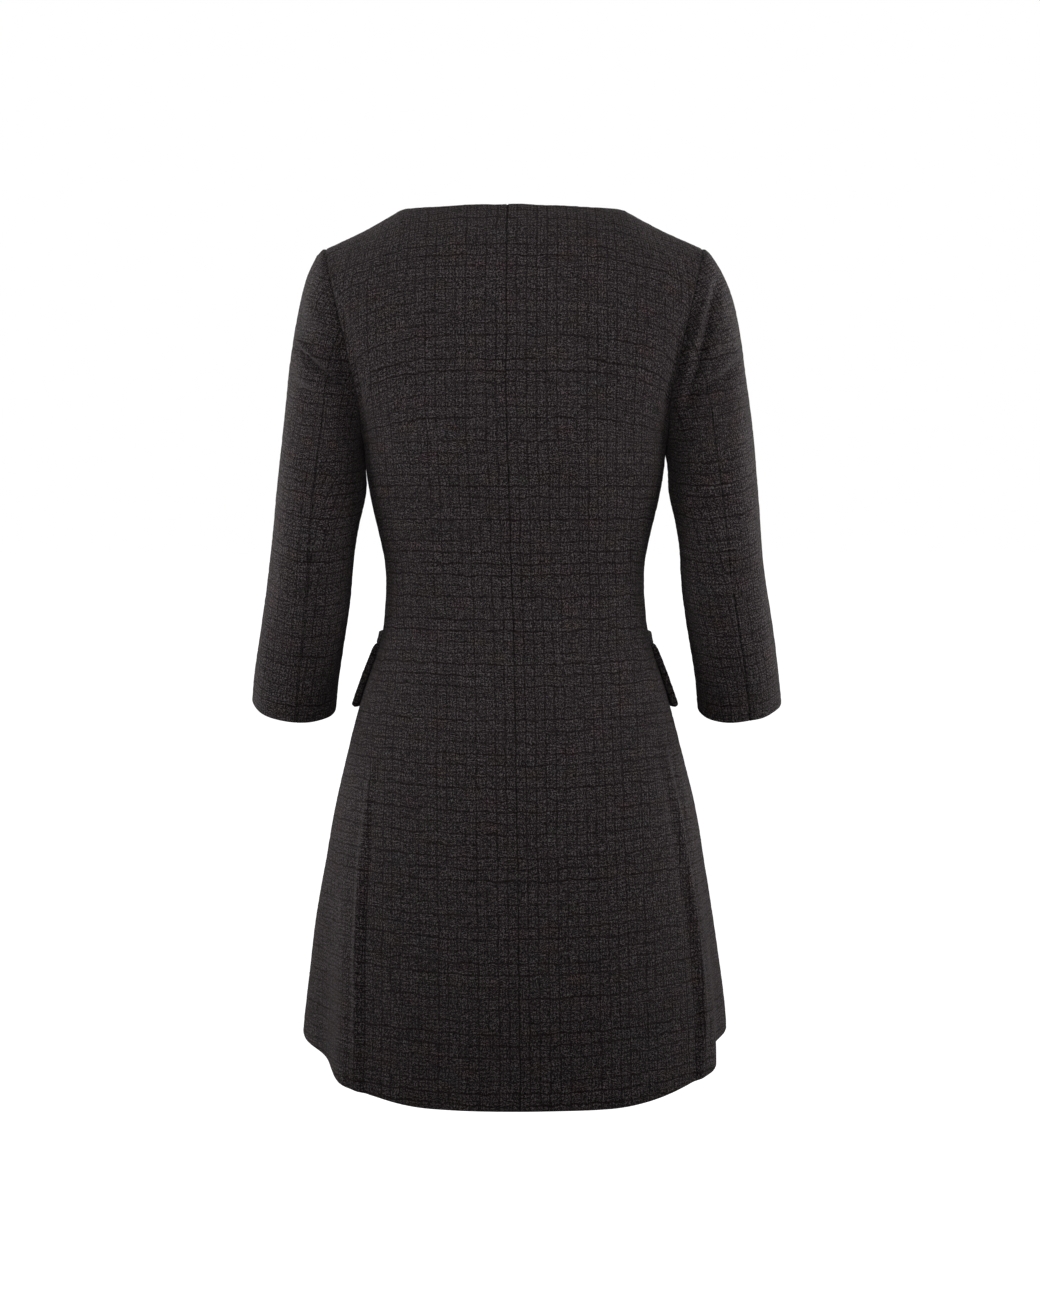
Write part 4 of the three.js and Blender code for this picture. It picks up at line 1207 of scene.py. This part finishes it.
def turned_button():
    """A drilled button with its foot at the origin and its face towards +Z, in millimetres."""
    bm = bmesh.new()
    radius, thick = BUTTONS["radius"], BUTTONS["thick"]
    line = [bm.verts.new((share * radius, 0, high * thick)) for share, high in BUTTON_PROFILE]
    edges = [bm.edges.new(pair) for pair in zip(line[:-1], line[1:])]
    bmesh.ops.spin(bm, geom=line + edges, cent=(0, 0, 0), axis=(0, 0, 1), angle=2 * math.pi,
                   steps=BUTTON_FACETS)
    bmesh.ops.remove_doubles(bm, verts=bm.verts, dist=1e-4)
    bmesh.ops.recalc_face_normals(bm, faces=bm.faces)
    disc = bpy.data.meshes.new("disc")
    bm.to_mesh(disc)
    bm.free()
    drill = bmesh.new()
    for quarter in range(4):
        turn = Matrix.Rotation(math.radians(45 + 90 * quarter), 4, "Z")
        aside = turn @ Vector((BUTTON_HOLE["out"] * 1.414, 0, 2))
        bmesh.ops.create_cone(drill, cap_ends=True, segments=20, radius1=BUTTON_HOLE["radius"],
                              radius2=BUTTON_HOLE["radius"], depth=8, matrix=Matrix.Translation(aside))
    bits = bpy.data.meshes.new("drill")
    drill.to_mesh(bits)
    drill.free()
    blank, cutter = add_object("disc", disc), add_object("drill", bits)
    cut = blank.modifiers.new("holes", "BOOLEAN")
    cut.operation, cut.object, cut.solver = "DIFFERENCE", cutter, "EXACT"
    drilled = bpy.data.meshes.new_from_object(blank.evaluated_get(bpy.context.evaluated_depsgraph_get()))
    for piece in (blank, cutter):
        bpy.data.objects.remove(piece)
    return drilled


top_front = bpy.data.objects["front_panel_right"]
top_cloth = BVHTree.FromObject(top_front, bpy.context.evaluated_depsgraph_get())


def on_top_front(x, z):
    """The point of the top front's cloth at a place, in millimetres."""
    hit = top_cloth.ray_cast(Vector((x * 0.001, -1, z * 0.001)), Vector((0, 1, 0)))[0]
    return hit * 1000


def buttonhole_path(z, up):
    """Round the slit: along its lower lip, round the end, and back along its upper lip."""
    half = BUTTONHOLE["half"]
    spots = []
    for x in np.arange(BUTTONHOLE["from"], BUTTONHOLE["to"], -1.0):
        spots.append((x, z - half))
    for turn in np.radians(np.arange(-90, 91, 30)):
        spots.append((BUTTONHOLE["to"] - half * math.cos(turn), z + half * math.sin(turn)))
    for x in np.arange(BUTTONHOLE["to"] + 1.0, BUTTONHOLE["from"] + 0.5, 1.0):
        spots.append((x, z + half))
    return [(on_top_front(*spot) + 0.35 * up, up) for spot in spots]


drilled = turned_button()
worked, bars = [], []
for index in range(BUTTONS["count"]):
    foot, normal = button_place(index)
    turn = normal.to_track_quat("Z", "X").to_matrix().to_4x4()
    stand = Matrix.Diagonal((0.001, 0.001, 0.001, 1)) @ Matrix.Translation(foot) @ turn
    mesh = drilled.copy()
    mesh.name = f"turned_button_{index + 1}"
    mesh.transform(stand)
    mesh.polygons.foreach_set("use_smooth", [True] * len(mesh.polygons))
    mesh.set_sharp_from_angle(angle=math.radians(40))
    mesh.materials.clear()
    mesh.materials.append(plastic)
    button = add_object(mesh.name, mesh)
    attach(button, "root")
    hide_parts(f"button_{index + 1}")

    worked.append(buttonhole_path(foot.z, normal))
    floor_of_dish = BUTTONS["thick"] * BUTTON_PROFILE[-1][1] + THREAD * 0.6
    for side in (-1, 1):
        bar = []
        for across in (-0.55, 0.55):
            at = turn @ Vector((side * BUTTON_HOLE["out"] + across, 0, floor_of_dish))
            bar.append((foot + at, normal))
        bars.append(bar)

sew_stitches("buttonhole_stitches", worked, Pitch=0.00062, Length=0.0021, Thread=0.0005, Turn=90.0,
             Uneven=0.16, Seed=11)
sew_stitches("button_thread", bars, Pitch=0.00035, Length=0.0046, Thread=THREAD * 0.001, Turn=90.0,
             Uneven=0.04, Seed=4)

# ---- Studio -------------------------------------------------------------------------------------
# The dress hangs free over a pale floor in a white studio. On each side of it, back and front, two
# soft lights stand out to the sides, and a third near the middle fills the shadows between them.

CAMERA_AT = (-0.005, 1.6, -0.27)
CAMERA_FALL = math.atan(150 / 1600)
LENS = 44.31
FLOOR_Z = -1.35
FLOOR_REACH = 30

camera = add_object("camera", bpy.data.cameras.new("camera"))
camera.location = CAMERA_AT
camera.rotation_euler = (math.pi / 2 - CAMERA_FALL, 0, math.pi)
camera.data.lens = LENS
bpy.context.scene.camera = camera

floor_mesh = bpy.data.meshes.new("floor")
floor_mesh.from_pydata(
    [(x * FLOOR_REACH, y * FLOOR_REACH, FLOOR_Z) for x, y in ((-1, -1), (1, -1), (1, 1), (-1, 1))],
    [], [(0, 1, 2, 3)])
floor = add_object("floor", floor_mesh)
floor_paint, paint_tree, floor_shader = new_material(
    "floor paint", Base_Color=(0.5, 0.5, 0.5, 1), Roughness=0.9, Specular_IOR_Level=0.1,
    Emission_Color=(1, 1, 1, 1))
seen = add_node(paint_tree, "ShaderNodeLightPath").outputs["Is Camera Ray"]
paint_tree.links.new(seen, floor_shader.inputs["Emission Strength"])
floor.data.materials.append(floor_paint)


def soft_light(name, at, aim, size, spread, power):
    data = bpy.data.lights.new(name, "AREA")
    data.shape, data.size, data.energy, data.spread = "DISK", size, power, math.radians(spread)
    lamp = add_object(name, data)
    lamp.location = at
    lamp.rotation_euler = (Vector((0, 0, aim)) - Vector(at)).to_track_quat("-Z", "Y").to_euler()
    lamp.visible_camera = False


for name, at, aim, size, spread, power in (
    ("back left", (1.45, 0.6, 0.2), -0.15, 0.7, 80, 4.4),
    ("back right", (-1.45, 0.6, 0.2), -0.15, 0.7, 80, 4.2),
    ("back fill", (0.0, 1.7, 0.1), -0.24, 0.8, 60, 2.4),
    ("low left", (1.3, 0.0, -0.6), -0.6, 0.6, 120, 3.6),
    ("low right", (-1.3, 0.0, -0.6), -0.6, 0.6, 120, 3.6),
    ("front left", (1.4, -0.9, 0.2), -0.2, 0.7, 80, 5.4),
    ("front right", (-1.4, -0.9, 0.2), -0.2, 0.7, 80, 6.2),
    ("front fill", (0.0, -1.7, 0.7), -0.25, 0.8, 80, 2.7),
):
    soft_light(name, at, aim, size, spread, power)

# The walls of the studio look white, and give little light of their own.
world = bpy.data.worlds.new("studio")
bpy.context.scene.world = world
world.use_nodes = True
air = world.node_tree
seen = add_node(air, "ShaderNodeLightPath").outputs["Is Camera Ray"]
walls = blend_colour(air, seen, (0.2, 0.2, 0.2, 1), (1, 1, 1, 1))
air.links.new(walls, air.nodes["Background"].inputs["Color"])
bpy.context.scene.view_settings.view_transform = "Standard"
